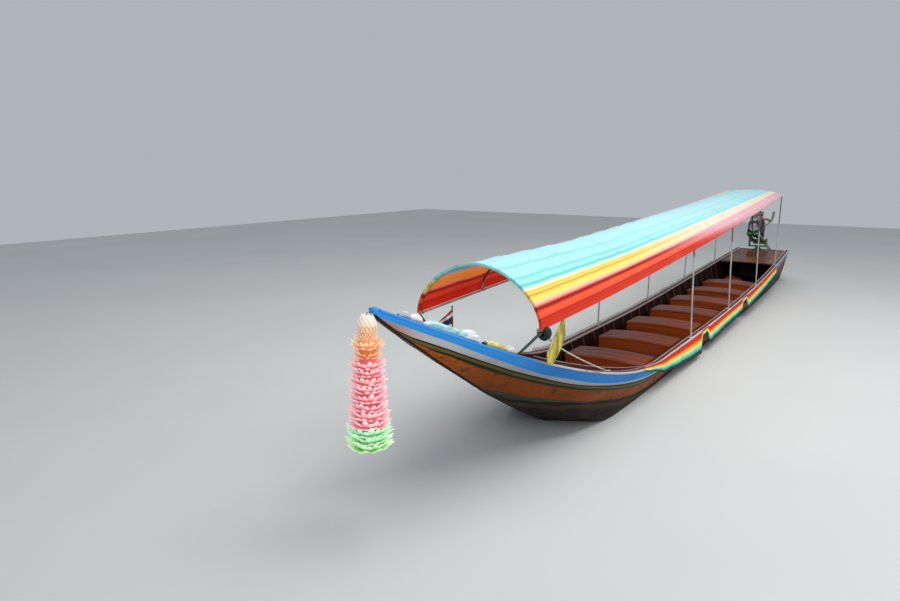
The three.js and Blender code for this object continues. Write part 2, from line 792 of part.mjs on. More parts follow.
function makeEngine() {
  const rail = (side) => box(-300, 780, side * 115 - 22, side * 115 + 22, -30, 30);
  addTilting(
    "engine_cradle",
    join(
      bar([0, -180.5, 0], [0, 180.5, 0], 32, 16),
      rail(1),
      rail(-1),
      box(-300, -250, -130, 130, -26, 26),
      box(730, 780, -130, 130, -26, 26),
    ),
    0x2f6b3c,
    0.5,
    0.4,
  );
  addTilting(
    "engine_block",
    join(
      box(130, 720, -150, 150, 30.3, 330),
      box(150, 700, -110, 110, 320, 470),
      box(170, 680, -80, 80, 460, 530),
      bar([715, 0, 150], [760, 0, 150], 95, 16),
    ),
    0x3a4046,
    0.5,
    0.5,
  );
  addTilting(
    "air_filter",
    bar([420, 0, 530.4], [420, 0, 610], 120, 18),
    0x6a6f74,
    0.5,
    0.5,
  );
  addTilting(
    "exhaust_pipe",
    bentBar(
      [
        [560, 110.4, 400],
        [560, 126, 400],
        [548, 170, 402],
        [500, 212, 412],
        [380, 232, 430],
        [160, 238, 450],
        [-60, 238, 560],
        [-180, 238, 760],
      ],
      27,
      20,
      10,
    ),
    0x5b4a40,
    0.6,
    0.6,
  );
  addTilting(
    "clutch_housing",
    bar([129.6, 0, SHAFT_HEIGHT], [-261, 0, SHAFT_HEIGHT], 98, 18, 62),
    0x55595e,
    0.5,
    0.6,
  );
  addTilting(
    "tail_tube",
    join(
      bar([-261.4, 0, SHAFT_HEIGHT], [TUBE_END, 0, SHAFT_HEIGHT], 38, 14),
      bar([-261.4, 0, SHAFT_HEIGHT], [-300, 0, SHAFT_HEIGHT], 62, 16),
    ),
    0x53616e,
    0.5,
    0.5,
  );
  addTilting(
    "tiller",
    join(
      bentBar(
        [
          [780.4, 0, 0],
          [800, 0, 0],
          [830, 0, 0],
          [900, 0, 60],
          [980, 0, 200],
          [1080, 0, 300],
          [1240, 0, 330],
        ],
        17,
        20,
        10,
      ),
      bar([1130, 0, 314], [1260, 0, 333], 24, 12),
    ),
    0x30353a,
    0.5,
    0.5,
  );
  addTilting(
    "skeg",
    join(
      box(TUBE_END + 20, TUBE_END + 420, -5, 5, SHAFT_HEIGHT - 190, SHAFT_HEIGHT - 38.6),
      box(TUBE_END - 330, TUBE_END + 60, -8, 8, SHAFT_HEIGHT - 190, SHAFT_HEIGHT - 160),
    ),
    0x53616e,
    0.5,
    0.5,
  );
}

// Propeller: a hub on its shaft end and two blades
function makePropeller() {
  const hubStart = TUBE_END - 0.5;
  const blade = (turn) =>
    loft(
      [
        [20, 26, 7],
        [60, 46, 6],
        [95, 48, 4.5],
        [PROPELLER_RADIUS, 20, 3],
      ].map(([radius, half, thick]) => {
        const pitch = THREE.MathUtils.degToRad(48 - radius * 0.2);
        const corner = (u, v) => [
          hubStart - 95 + u * Math.sin(pitch) * half + v * Math.cos(pitch) * thick,
          u * Math.cos(pitch) * half - v * Math.sin(pitch) * thick,
          radius,
        ];
        return [corner(-1, -1), corner(1, -1), corner(1, 1), corner(-1, 1)];
      }),
    )
      .rotateX(turn)
      .translate(0, 0, SHAFT_HEIGHT);
  addTilting(
    "propeller",
    join(
      bar([hubStart, 0, SHAFT_HEIGHT], [hubStart - 150, 0, SHAFT_HEIGHT], 20, 12),
      bar([hubStart - 50, 0, SHAFT_HEIGHT], [hubStart - 150, 0, SHAFT_HEIGHT], 34, 14, 26),
      blade(0),
      blade(Math.PI),
    ),
    0xa8843a,
    0.4,
    0.8,
  );
}

function makeFuelTank() {
  add("fuel_tank", box(-5690, -5350, -420, -60, FLOOR_Z + GAP, FLOOR_Z + 300), 0xb0301f, 0.5);
}

makeHull();
makeDeck("foredeck", 40, FOREDECK_END, 0x7c2430);
makeDeck("aft_deck", AFT_DECK_START, PLANK_END, 0x7a3c18);
makeStem();
makeCoveringBoards();
makeFloor();
makeBenches();
makeCanopyFrame();
makeCanopyCloth();
makeSideCloths();
makeGarland();
makeBowCloths();
makeFlag();
makeScarf();
makeRope();
makeEngineSupport();
makeEngine();
makePropeller();
makeFuelTank();

export default model;
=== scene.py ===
# %% [markdown]
# # Dressing a canal longtail boat
# The CAD part gives this boat its true sizes, its joints and its solids. Blender gives it planks,
# paint, cloth, flowers and pipe work. The packed model is loaded first, and nothing in it is moved.
# The dressed boat has to stay inside it.

# %% Load the packed boat
import random
from math import copysign, cos, exp, pi, radians, sin

import bmesh
import bpy
import numpy as np
from mathutils import Matrix, Vector


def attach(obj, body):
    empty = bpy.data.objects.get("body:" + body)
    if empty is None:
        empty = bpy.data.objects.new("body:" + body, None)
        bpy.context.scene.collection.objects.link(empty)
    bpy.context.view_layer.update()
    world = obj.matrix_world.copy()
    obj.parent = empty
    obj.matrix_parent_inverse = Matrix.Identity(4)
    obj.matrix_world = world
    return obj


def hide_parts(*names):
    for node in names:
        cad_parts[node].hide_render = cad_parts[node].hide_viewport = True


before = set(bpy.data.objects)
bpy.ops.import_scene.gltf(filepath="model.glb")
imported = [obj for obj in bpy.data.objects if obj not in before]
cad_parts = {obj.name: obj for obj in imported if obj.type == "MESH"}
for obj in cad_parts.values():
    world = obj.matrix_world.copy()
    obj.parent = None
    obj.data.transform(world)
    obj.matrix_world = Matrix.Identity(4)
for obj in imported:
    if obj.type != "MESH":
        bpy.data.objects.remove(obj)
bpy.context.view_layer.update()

# %% [markdown]
# ## Camera
# The boat is seen from a little above eye level, off the port bow. The place and the lens were
# worked out from the straight rails, the evenly spaced benches and the waterline.

# %% Camera
camera = bpy.data.objects.new("camera", bpy.data.cameras.new("camera"))
bpy.context.scene.collection.objects.link(camera)
camera.location = (11.184, 3.157, 2.744)
camera.rotation_euler = Vector((-0.8132, -0.5498, -0.1908)).to_track_quat("-Z", "Y").to_euler()
camera.data.lens = 27.49
camera.data.sensor_width = 36
bpy.context.scene.camera = camera
print("camera height above the waterline:", round(camera.location.z, 2), "m")

# %% [markdown]
# ## Helpers for numbers
# Boats are set out in even steps and from tables: so many frames, so many turns of a rope, a width
# at each station. These short functions do that counting, and every later piece leans on them.

# %% Helpers for numbers
def part_of(value, low=0.0, high=1.0):
    return min(high, max(low, value))


def spaced(first, last, count):
    return [first + (last - first) * i / count for i in range(count + 1)]


def turns(count, shift=0.0):
    """Angles at even steps round a full turn."""
    return [2 * pi * (k + shift) / count for k in range(count)]


def from_table(table, at, column=1):
    """A value read between the rows of a table whose first column goes up."""
    return float(np.interp(at, [row[0] for row in table], [row[column] for row in table]))


def heading(angle):
    """A level direction."""
    return Vector((cos(angle), sin(angle), 0))


print("four stations along the boat:", spaced(0, 15, 3))

# %% [markdown]
# ## Lines of the hull
# A boat builder draws a few curves: the sheer (top edge), the half beam, the keel and the chine.
# Every piece is set out from these, so they are plain functions of the station, in metres aft of
# the bow tip.

# %% Lines of the hull
BOW_X = 7.5
HULL_END = 14.97
PLANK = 0.022


def bow_rise(s):
    return 1.38 * part_of(1 - s / 4.6) ** 1.6


def sheer_z(s):
    return 0.355 + bow_rise(s) + 0.335 * part_of((s - 7) / 8) ** 1.6


def half_beam(s):
    bow = 1 - part_of(1 - s / 4.03) ** 2.2
    return 0.04 + 0.677 * bow - 0.117 * part_of((s - 9.5) / 5.5) ** 2


def keel_z(s):
    return -0.19 + 1.88 * part_of(1 - s / 3.4) ** 1.25 + 0.11 * part_of((s - 13) / 2) ** 2


def chine_z(s):
    return keel_z(s) + 0.2 * (0.355 + bow_rise(s) - keel_z(s))


def chine_y(s):
    """The bottom starts as a narrow stem plank and widens to most of the beam."""
    t = part_of((s - 0.9) / 1.9)
    full = t * t * (3 - 2 * t)
    stem_plank = 0.05 + 0.1 * part_of(s)
    return min(0.78 * half_beam(s), (1 - full) * stem_plank + full * 0.8 * half_beam(s))


def board_top(s):
    return sheer_z(s) + 0.0223


def deck_z(s, y):
    return sheer_z(s) - 0.002 - 0.015 * abs(y) / 0.717


def place(s, y, z):
    lean = 0.22 * part_of((s - 13.3) / 1.7)
    return (BOW_X - s - lean * z, y, z)


def section(s):
    """Points of one side from the sheer to the keel: a bellied side, a chine and a flat bottom."""
    top = Vector((half_beam(s), sheer_z(s)))
    chine = Vector((chine_y(s), chine_z(s)))
    belly = (top + chine) / 2 + Vector((0.018 * half_beam(s), 0))
    bend = 2 * belly - (top + chine) / 2
    side = [
        top * (1 - t) ** 2 + bend * (2 * t * (1 - t)) + chine * t * t
        for t in spaced(0, 1, 10)
    ]
    return side + [Vector((0, keel_z(s)))]


def inside_y(s, z):
    """Half width inside the planking at a height."""
    return from_table([(p.y, p.x) for p in reversed(section(s)[:11])], z) - PLANK


print("sheer at the bow, waist and stern:", [round(sheer_z(s), 3) for s in (0, 7, 14.97)])

# %% [markdown] ## From points to pieces Most pieces are grids or rings of points joined by
# faces.

# %% From points to pieces
def new_object(name, data):
    made = bpy.data.objects.new(name, data)
    bpy.context.scene.collection.objects.link(made)
    return made


def shade_mesh(mesh, angle):
    """Smooth shading, except over edges that are sharper than the angle."""
    mesh.polygons.foreach_set("use_smooth", [True] * len(mesh.polygons))
    mesh.set_sharp_from_angle(angle=radians(angle))


def settle(piece, body, slot, stands_for=()):
    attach(piece, body)
    if stands_for:
        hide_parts(*stands_for)
    return piece


def make_piece(name, points, faces, body, slot, finish, stands_for=(), angle=35, marks=None, uv=None):
    """Marks hold one number for each point, by name. A paint reads them with kept."""
    mesh = bpy.data.meshes.new(name)
    mesh.from_pydata([tuple(p) for p in points], [], faces)
    for mark, values in (marks or {}).items():
        mesh.attributes.new(mark, "FLOAT", "POINT").data.foreach_set("value", values)
    if uv is not None:
        layer = mesh.uv_layers.new(name="UVMap")
        for loop in mesh.loops:
            layer.data[loop.index].uv = uv[loop.vertex_index]
    mesh.validate()
    shade_mesh(mesh, angle)
    mesh.materials.append(finish)
    return settle(new_object(name, mesh), body, slot, stands_for)


def grid_faces(rows, columns, turned=False, start=0, closed=False):
    """Faces of a grid of points that are stored row by row."""
    faces = []
    for r in range(rows - 1):
        for c in range(columns if closed else columns - 1):
            a, b = start + r * columns + c, start + r * columns + (c + 1) % columns
            face = (a, b, b + columns, a + columns)
            faces.append(face[::-1] if turned else face)
    return faces


def volume_sign(points, faces):
    """Below zero where the faces of a closed shape point inwards."""
    total = 0.0
    for face in faces:
        a = Vector(points[face[0]])
        for i in range(1, len(face) - 1):
            total += a.dot(Vector(points[face[i]]).cross(Vector(points[face[i + 1]])))
    return total


print("faces of a grid of 3 by 3 points:", grid_faces(3, 3))

# %% [markdown]
# ## Closed shapes
# Bars, turned parts, belts and blocks are rings of points with a skin of faces. The class below
# collects any number of them in one mesh. Curves with a bevel would make the bars as well, but
# with plain points each shape can be checked, and turned over if its faces point inwards.

# %% Closed shapes
def cross_frames(path):
    """Each point of a path, two directions across the path there, and the one along it."""
    side, last = None, len(path) - 1
    for i, point in enumerate(path):
        along = (path[min(i + 1, last)] - path[max(i - 1, 0)]).normalized()
        if side is None:
            side = along.orthogonal().normalized()
        side = (side - along * side.dot(along)).normalized()
        yield point, side, along.cross(side), along


def ring_round(centre, side, up, radius, sides):
    return [centre + (side * cos(a) + up * sin(a)) * radius for a in turns(sides)]


class Shapes:
    """Collects closed shapes that end up in one mesh."""

    def __init__(self):
        self.points, self.faces, self.marks = [], [], []

    def add(self, points, faces, mark=0.0):
        """A mark is one number for the shape, or one for each of its points."""
        if volume_sign(points, faces) < 0:
            faces = [tuple(reversed(f)) for f in faces]
        start = len(self.points)
        self.points += [tuple(p) for p in points]
        self.faces += [tuple(i + start for i in f) for f in faces]
        self.marks += list(mark) if hasattr(mark, "__len__") else [mark] * len(points)
        return self

    def loft(self, rings, mark=0.0):
        """Rings of equal length joined into one closed body."""
        count = len(rings[0])
        last = (len(rings) - 1) * count
        faces = grid_faces(len(rings), count, closed=True)
        faces += [tuple(range(count))[::-1], tuple(range(last, last + count))]
        return self.add([p for ring in rings for p in ring], faces, mark)

    def tube(self, path, radius, sides=14, mark=0.0, mouth=0.0):
        """A round bar along a path. A mouth is how deep its last end is hollow."""
        path, rings = [Vector(p) for p in path], []
        for point, side, up, along in cross_frames(path):
            rings.append(ring_round(point, side, up, radius, sides))
        if mouth:
            rings.append([path[-1] + (p - path[-1]) * 0.86 for p in rings[-1]])
            rings.append([p - along * mouth for p in rings[-1]])
        return self.loft(rings, mark)

    def turned(self, profile, centre, axis, sides=32, mark=0.0):
        """A shape from a lathe. The profile is radius and distance along the axis."""
        axis = Vector(axis).normalized()
        side = axis.orthogonal().normalized()
        up = axis.cross(side)
        return self.loft([ring_round(Vector(centre) + axis * d, side, up, max(r, 0.0004), sides)
                          for r, d in profile], mark)

    def loop(self, rings, mark=0.0):
        """Rings joined into a closed band, such as a belt or a lashing."""
        points = [p for ring in rings for p in ring]
        faces = grid_faces(len(rings) + 1, len(rings[0]), closed=True)
        return self.add(points, [tuple(i % len(points) for i in f) for f in faces], mark)

    def box(self, low, high, edge=0.002, mark=0.0):
        """A block with small chamfers along its edges."""
        low, high = Vector(low), Vector(high)
        block = bmesh.new()
        bmesh.ops.create_cube(block, size=1)
        size, middle = high - low, (high + low) / 2
        for v in block.verts:
            v.co = v.co * size + middle
        bmesh.ops.bevel(block, geom=list(block.edges), offset=min(edge, 0.45 * min(size)), segments=1,
                        affect="EDGES")
        points = [v.co.copy() for v in block.verts]
        faces = [tuple(v.index for v in f.verts) for f in block.faces]
        block.free()
        return self.add(points, faces, mark)

    def moved(self, matrix):
        """The same shapes, turned and carried to another place."""
        self.points = [tuple(matrix @ Vector(p)) for p in self.points]
        return self

    def finish(self, name, body, slot, finish, stands_for=(), angle=35, mark_name="part"):
        return make_piece(name, self.points, self.faces, body, slot, finish, stands_for, angle,
                          {mark_name: self.marks})


print("points of a small ring:",
      len(Shapes().turned([(0, 0), (1, 0), (1, 1), (0, 1)], (0, 0, 0), (0, 0, 1)).points))

# %% [markdown]
# ## Smooth paths
# Ropes, pipes and leads are given by a few points. A centripetal curve runs through all of them
# without the loops that other curves make at a sharp bend. It is then cut into even steps, so
# that what winds along it stays even too.

# %% Smooth paths
def smooth_path(points, step):
    """A curve through points, cut into steps of about one length. Its own length comes with it."""
    points = [Vector(p) for p in points]
    ends = [points[0] * 2 - points[1]] + points + [points[-1] * 2 - points[-2]]
    fine = []
    for i in range(1, len(ends) - 2):
        a, b, c, d = ends[i - 1 : i + 3]
        t0, t1 = 0.0, max((b - a).length, 1e-6) ** 0.5
        t2 = t1 + max((c - b).length, 1e-6) ** 0.5
        t3 = t2 + max((d - c).length, 1e-6) ** 0.5
        for k in range(24):
            t = t1 + (t2 - t1) * k / 24
            ab = a * ((t1 - t) / (t1 - t0)) + b * ((t - t0) / (t1 - t0))
            bc = b * ((t2 - t) / (t2 - t1)) + c * ((t - t1) / (t2 - t1))
            cd = c * ((t3 - t) / (t3 - t2)) + d * ((t - t2) / (t3 - t2))
            abc = ab * ((t2 - t) / (t2 - t0)) + bc * ((t - t0) / (t2 - t0))
            bcd = bc * ((t3 - t) / (t3 - t1)) + cd * ((t - t1) / (t3 - t1))
            fine.append(abc * ((t2 - t) / (t2 - t1)) + bcd * ((t - t1) / (t2 - t1)))
    fine.append(points[-1])
    gone = np.concatenate([[0], np.cumsum([(q - p).length for p, q in zip(fine, fine[1:])])])
    where = np.linspace(0, gone[-1], max(2, round(gone[-1] / step)) + 1)
    co = np.array([tuple(p) for p in fine])
    path = [Vector(tuple(np.interp(w, gone, co[:, k]) for k in range(3))) for w in where]
    return path, float(gone[-1])


print("a quarter bend:", len(smooth_path([(0, 0, 0), (1, 0, 0), (1, 1, 0)], 0.1)[0]), "points")

# %% [markdown]
# ## Finishes as sums
# A material is a small program. A mark on a surface, such as grain or dirt, is a number that
# varies from place to place. The class below lets such numbers be added and multiplied in plain
# Python, and adds the math nodes itself. One method makes every other kind of node.

# %% Colours and marks
def tone(red, green, blue):
    """A colour as it is seen on a screen, 0 to 255, turned into light."""
    def light(v):
        v /= 255
        return v / 12.92 if v <= 0.04045 else ((v + 0.055) / 1.055) ** 2.4
    return (light(red), light(green), light(blue), 1.0)


def shade(colour, times, plus=0.0):
    """The same colour, made darker or lighter."""
    return [min(1, times * v + plus) for v in colour[:3]] + [1]


def stops(*rows):
    """Colour stops of a ramp: each row is a place and the colour there as it is seen."""
    return [(at, tone(*seen)) for at, *seen in rows]


class Mark:
    """A number that varies over a surface."""

    def __init__(self, finish, socket):
        self.finish, self.socket = finish, socket

    def sum(self, operation, *pair):
        return self.finish.node("ShaderNodeMath", {"operation": operation}, dict(enumerate(pair)))

    def __add__(self, other):
        return self.sum("ADD", self, other)

    def __sub__(self, other):
        return self.sum("SUBTRACT", self, other)

    def __rsub__(self, other):
        return self.sum("SUBTRACT", other, self)

    def __mul__(self, other):
        return self.sum("MULTIPLY", self, other)

    def __truediv__(self, other):
        return self.sum("DIVIDE", self, other)

    __radd__, __rmul__ = __add__, __mul__

    def wave(self):
        return self.sum("SINE", self)

    def above(self, edge, soft):
        """0 below an edge and 1 above it, with a soft step between."""
        return self.finish.node("ShaderNodeMapRange", {"interpolation_type": "SMOOTHSTEP"},
                                {"Value": self, "From Min": edge - soft / 2, "From Max": edge + soft / 2})


print("middle grey as light:", round(tone(128, 128, 128)[0], 3))

# %% [markdown]
# ## One class for all finishes
# A finish starts from the Principled shader. Layers puts coats of colour over each other, as a
# painter does, and wear joins the result to the shader. Patterns read the place on the piece in
# metres, so they stay with it when the boat turns or the camera moves.

# %% One class for all finishes
class Finish:
    """One material and short ways to fill it."""

    def __init__(self, name, constants):
        self.material = bpy.data.materials.new(name)
        self.material.use_nodes = True
        self.tree = self.material.node_tree
        self.shader = self.tree.nodes["Principled BSDF"]
        self.spot = self.node("ShaderNodeTexCoord", {}, {}, "Object")
        for socket, value in constants.items():
            self.shader.inputs[socket].default_value = value

    def node(self, kind, settings, sockets, output=0):
        made = self.tree.nodes.new(kind)
        for key, value in settings.items():
            if key == "stops":
                elements = made.color_ramp.elements
                elements.remove(elements[-1])
                elements[0].position, elements[0].color = value[0]
                for position, colour in value[1:]:
                    elements.new(position).color = colour
            else:
                setattr(made, key, value)
        for key, value in sockets.items():
            self.plug(value, made.inputs[key])
        return Mark(self, made.outputs[output])

    def plug(self, value, socket):
        if isinstance(value, Mark):
            self.tree.links.new(value.socket, socket)
        else:
            socket.default_value = value

    def split(self, vector, k):
        return self.node("ShaderNodeSeparateXYZ", {}, {0: vector}, k)

    def axis(self, k):
        """The place along an axis, in metres."""
        return self.split(self.spot, k)

    def facing(self, k):
        """How far the surface faces along an axis, 1 at most."""
        return self.split(self.node("ShaderNodeNewGeometry", {}, {}, "Normal"), k)

    def across(self, k):
        """One of the two cloth measures, in metres: 0 is across the stripes, 1 is along them."""
        return self.split(self.node("ShaderNodeUVMap", {"uv_map": "UVMap"}, {}), k)

    def kept(self, name):
        """A number that was stored on the mesh."""
        return self.node("ShaderNodeAttribute", {"attribute_name": name}, {}, 2)

    def noise(self, scale, detail=3.0, stretch=(1, 1, 1)):
        """Cloudy noise. A stretch that differs by axis gives it a grain."""
        spread = self.node("ShaderNodeMapping", {}, {"Vector": self.spot, "Scale": stretch})
        return self.node("ShaderNodeTexNoise", {},
                         {"Vector": spread, "Scale": scale, "Detail": detail, "Roughness": 0.55})

    def ramp(self, value, colour_stops):
        return self.node("ShaderNodeValToRGB", {"stops": colour_stops}, {0: value})

    def mix(self, first, second, share):
        """Colours are marks, or three numbers as they are seen."""
        first, second = (tone(*c) if isinstance(c, tuple) and len(c) == 3 else c for c in (first, second))
        return self.node("ShaderNodeMix", {"data_type": "RGBA"}, {0: share, 6: first, 7: second}, 2)

    def layers(self, colour, *coats):
        """Coats of colour over a first one, each with the share that it covers."""
        for coat, share in coats:
            colour = self.mix(colour, coat, share)
        return colour

    def bump(self, height, strength, depth):
        return self.node("ShaderNodeBump", {}, {"Height": height, "Strength": strength, "Distance": depth})

    def wear(self, colour, roughness, normal=None, more=None):
        sockets = {"Base Color": colour, "Roughness": roughness, "Normal": normal, **(more or {})}
        for name, value in sockets.items():
            if value is not None:
                self.plug(value, self.shader.inputs[name])
        return self.material


print("ways to fill a finish:", [name for name in vars(Finish) if not name.startswith("_")])

# %% [markdown]
# ## Timber
# Varnished planks have long grain that runs with the board, darker pores, and a gloss coat that
# is dull where hands and feet have rubbed it. The grain is noise stretched along the board.

# %% Timber
def varnish(name, light, dark, run, gloss, coat):
    """Varnished wood whose grain runs along an axis: 0 fore and aft, 1 across the boat, 2 upright."""
    finish = Finish(name, {"Coat Roughness": 0.12, "IOR": 1.5})
    fine, broad = [34.0] * 3, [7.0] * 3
    fine[run], broad[run] = 1.6, 0.7
    grain, figure = finish.noise(1, 5, fine), finish.noise(1, 3, broad)
    pores = finish.noise(1, 2, [v * 5 for v in fine])
    rubbed = finish.noise(2.3, 4).above(0.56, 0.18)
    colour = finish.layers(
        finish.ramp(grain * 0.6 + figure * 0.4, [(0.3, dark), (0.52, light), (0.72, shade(light, 0.72))]),
        (shade(dark, 0.35), pores.above(0.62, 0.12) * 0.5),
        (shade(light, 1.25, 0.02), rubbed * 0.25))
    return finish.wear(colour, gloss + rubbed * 0.22, finish.bump(grain + pores * 0.4, 0.25, 0.002),
                       {"Coat Weight": coat - rubbed * 0.3 * coat})


# The frames are a dark varnish, made darker still as painted shade inside the hull.
frame_varnish = varnish("frame_varnish", tone(86, 42, 26), tone(46, 22, 14), 2, 0.45, 0.2)
stock_varnish = varnish("stock_varnish", tone(120, 70, 42), tone(70, 38, 24), 1, 0.5, 0.15)
print("timber finishes:", frame_varnish.name, stock_varnish.name)

# %% [markdown]
# ## Hull paint
# The side is painted in bands that follow the sheer: a blue top strake, a pale strake, a dark
# line, an olive and a green bead, a broad varnished strake, and a pale, a dark green and a yellow
# line above the maroon bottom. Each row of the hull mesh carries a number for its band, so one
# ramp paints them all and the edges stay on the mesh rows.

# %% Hull paint
BANDS = [
    tone(60, 164, 250), tone(212, 214, 214), tone(36, 18, 10), tone(112, 98, 44), tone(28, 38, 6),
    tone(222, 106, 0), tone(74, 82, 60), tone(10, 16, 10), tone(80, 50, 8), tone(34, 7, 4),
]


def hull_paint():
    """The wood inside has the band number -1. From the bow aft the paint is darkened as painted shade, most
    at about 2 m aft of the bow and less towards the stern.
    """
    finish = Finish("hull_paint", {"Coat Roughness": 0.2, "Specular IOR Level": 0.06})
    band, station = finish.kept("band"), BOW_X - finish.axis(0)
    edges = []
    for k, colour in enumerate(BANDS):
        edges += [(k / 10 + (0.0015 if k else 0), colour), (k / 10 + 0.0985, colour)]
    along = finish.noise(1, 4, (0.8, 5, 9))
    grain = finish.noise(1, 4, (1.8, 30, 46))
    under_blue = band.above(1.0, 0.02)
    pale = under_blue * (1 - band.above(2.0, 0.02))
    strake = band.above(5.0, 0.02) * (1 - band.above(6.0, 0.02))
    # Mask of painted shade along the hull: it grows from near the bow tip to full strength at about 1.7 m,
    # and from 2.5 m falls to four tenths by 6.5 m.
    aft = station.above(0.9, 1.6) * (1 - station.above(4.5, 4.0) * 0.6)
    marks = finish.noise(5, 3, (1, 1, 1.6)).above(0.62, 0.1)
    stain = along.above(0.58, 0.25)
    scuffs = finish.noise(16, 5, (0.5, 1, 1)).above(0.68, 0.05)
    # The wood inside the hull: its own dark brown, made darker still as painted shade inside the hull.
    inside_wood_and_shade = finish.ramp(grain, stops((0.3, 30, 15, 10), (0.7, 60, 31, 20)))
    paint = finish.layers(
        finish.ramp(band / 10, edges),
        # The blue strake turns a deeper blue from about 1.3 m to 2.2 m aft of the bow.
        ((34, 112, 190), station.above(1.75, 0.9) * (1 - band.above(0.99, 0.02)) * 0.6),
        ((184, 138, 128), pale * (1 - station.above(0.32, 0.3)) * 0.8),
        # Painted shade by the aft mask: dark over the bands below the blue strake, deeper blue on the blue
        # strake and darker brown on the varnished strake.
        ((26, 24, 18), under_blue * aft * 0.52),
        ((28, 84, 150), (1 - under_blue) * aft * 0.35),
        ((70, 32, 0), strake * aft * 0.5),
        ((110, 46, 8), strake * grain.above(0.5, 0.3) * 0.5),
        ((54, 26, 6), strake * marks * 0.6),
        ((62, 44, 26), stain * 0.14),
        ((90, 64, 40), scuffs * 0.3),
        (inside_wood_and_shade, 1 - band.above(-0.5, 0.1)))
    return finish.wear(paint, 0.42 + stain * 0.2 + scuffs * 0.2, finish.bump(grain, 0.14, 0.002),
                       {"Coat Weight": (0.05 - stain * 0.03) * (1 - band.above(6.0, 0.02))})


hull_finish = hull_paint()
print("bands from the sheer down:", len(BANDS))

# %% [markdown]
# ## Planking
# The bands keep their own widths along the girth of the hull, and run closer together at the
# bow. The tables give the distance down the skin from the sheer at a few stations. The strakes
# stand a few millimetres proud, as planks and beads do. The outer and inner skins are grids that
# meet at the sheer, so that the wall has its real thickness.

# %% Widths of the bands
BAND_ENDS = [
    [(0, 0.044), (0.2, 0.046), (0.65, 0.054), (0.99, 0.076), (1.35, 0.099), (1.77, 0.122), (2.22, 0.104),
     (2.79, 0.109), (3.56, 0.092)],
    [(0, 0.108), (0.24, 0.119), (0.71, 0.131), (1.04, 0.148), (1.42, 0.165), (1.81, 0.158), (2.25, 0.152),
     (2.81, 0.131), (3.59, 0.115)],
    [(0, 0.126), (0.43, 0.138), (0.72, 0.147), (1.05, 0.162), (1.43, 0.182), (1.82, 0.176), (2.25, 0.162),
     (2.81, 0.142), (3.61, 0.137)],
    [(0, 0.16), (0.46, 0.175), (0.75, 0.176), (1.08, 0.193), (1.45, 0.217), (1.84, 0.203), (2.26, 0.181),
     (2.82, 0.165), (3.62, 0.159)],
    [(0, 0.19), (0.77, 0.205), (1.12, 0.242), (1.49, 0.245), (1.86, 0.232), (2.29, 0.211), (2.83, 0.187),
     (3.64, 0.181)],
    [(0, 1.2), (1.4, 0.9), (1.5, 0.545), (1.68, 0.465), (1.99, 0.389), (2.36, 0.335), (2.9, 0.3),
     (3.73, 0.287)],
    [(0, 1.3), (1.46, 1.0), (1.55, 0.64), (1.82, 0.594), (2.01, 0.429), (2.38, 0.356), (2.9, 0.315),
     (3.72, 0.3)],
    [(0, 1.4), (1.6, 1.1), (1.7, 0.69), (1.91, 0.683), (2.06, 0.482), (2.39, 0.387), (2.94, 0.341),
     (3.79, 0.339)],
    [(0, 1.5), (1.8, 1.2), (1.9, 0.8), (2.02, 0.792), (2.17, 0.577), (2.41, 0.419), (2.97, 0.39),
     (3.82, 0.375)],
]
ROWS_IN_BAND = [4, 3, 2, 2, 3, 8, 1, 1, 1, 6]
hull_stations = [4.6 * (i / 120) ** 1.3 for i in range(121)] + spaced(4.6, HULL_END, 104)[1:]
print("stations along the hull:", len(hull_stations))

# %% Rows of the planking
def gone_by(points):
    """How far each point lies along the line through all of them."""
    return np.concatenate([[0], np.cumsum([(b - a).length for a, b in zip(points, points[1:])])])


def proud(band):
    """How far a strake or bead stands out from the planking."""
    k, t = int(band), band - int(band)
    if k == 0:
        return 0.006 * min(1, 6 * t, 6 * (1 - t)) if t > 0 else 0.0
    if k in (3, 4):
        return 0.005 * sin(pi * (band - 3) / 2) ** 0.5
    return {2: -0.0015, 1: 0.0012}.get(k, 0.0) if 0 < t else 0.0


def hull_row(s):
    """Outer points, inner points and band numbers of one side, from the sheer to the keel."""
    points = section(s)
    gone = gone_by(points)
    total, side = gone[-1], gone[-2]
    ends = [0.0]
    for k in range(9):
        end = max(from_table(BAND_ENDS[k], s), ends[-1] + 0.0004)
        ends.append(min(end, total - 0.035 - 0.0006 * (9 - k)))
    ends.append(total)
    outer, inner, bands = [], [], []
    for k in range(10):
        count = ROWS_IN_BAND[k]
        downs = [ends[k] + (ends[k + 1] - ends[k]) * j / count for j in range(count + (k == 9))]
        if count > 2 and ends[k] < side < ends[k + 1]:
            downs[min(range(1, count), key=lambda j: abs(downs[j] - side))] = side
        for j, g in enumerate(downs):
            y = float(np.interp(g, gone, [p.x for p in points]))
            z = float(np.interp(g, gone, [p.y for p in points]))
            i = min(int(np.searchsorted(gone, g + 1e-9)), len(points) - 1)
            d = (points[i] - points[i - 1]).normalized()
            normal = Vector((-d.y, d.x)) if -d.y > 0 else Vector((d.y, -d.x))
            out = proud(k + j / count) * part_of(s / 0.25)
            outer.append((max(0.0, y + normal.x * out), z + normal.y * out))
            inner.append((max(0.0, y - max(normal.x, 0.2) * PLANK), z - min(normal.y, 0) * PLANK))
            bands.append(k + j / count)
    inner[-1] = (0.0, keel_z(s) + PLANK)
    return outer, inner, bands


print("points from the sheer to the keel:", len(hull_row(5)[0]))

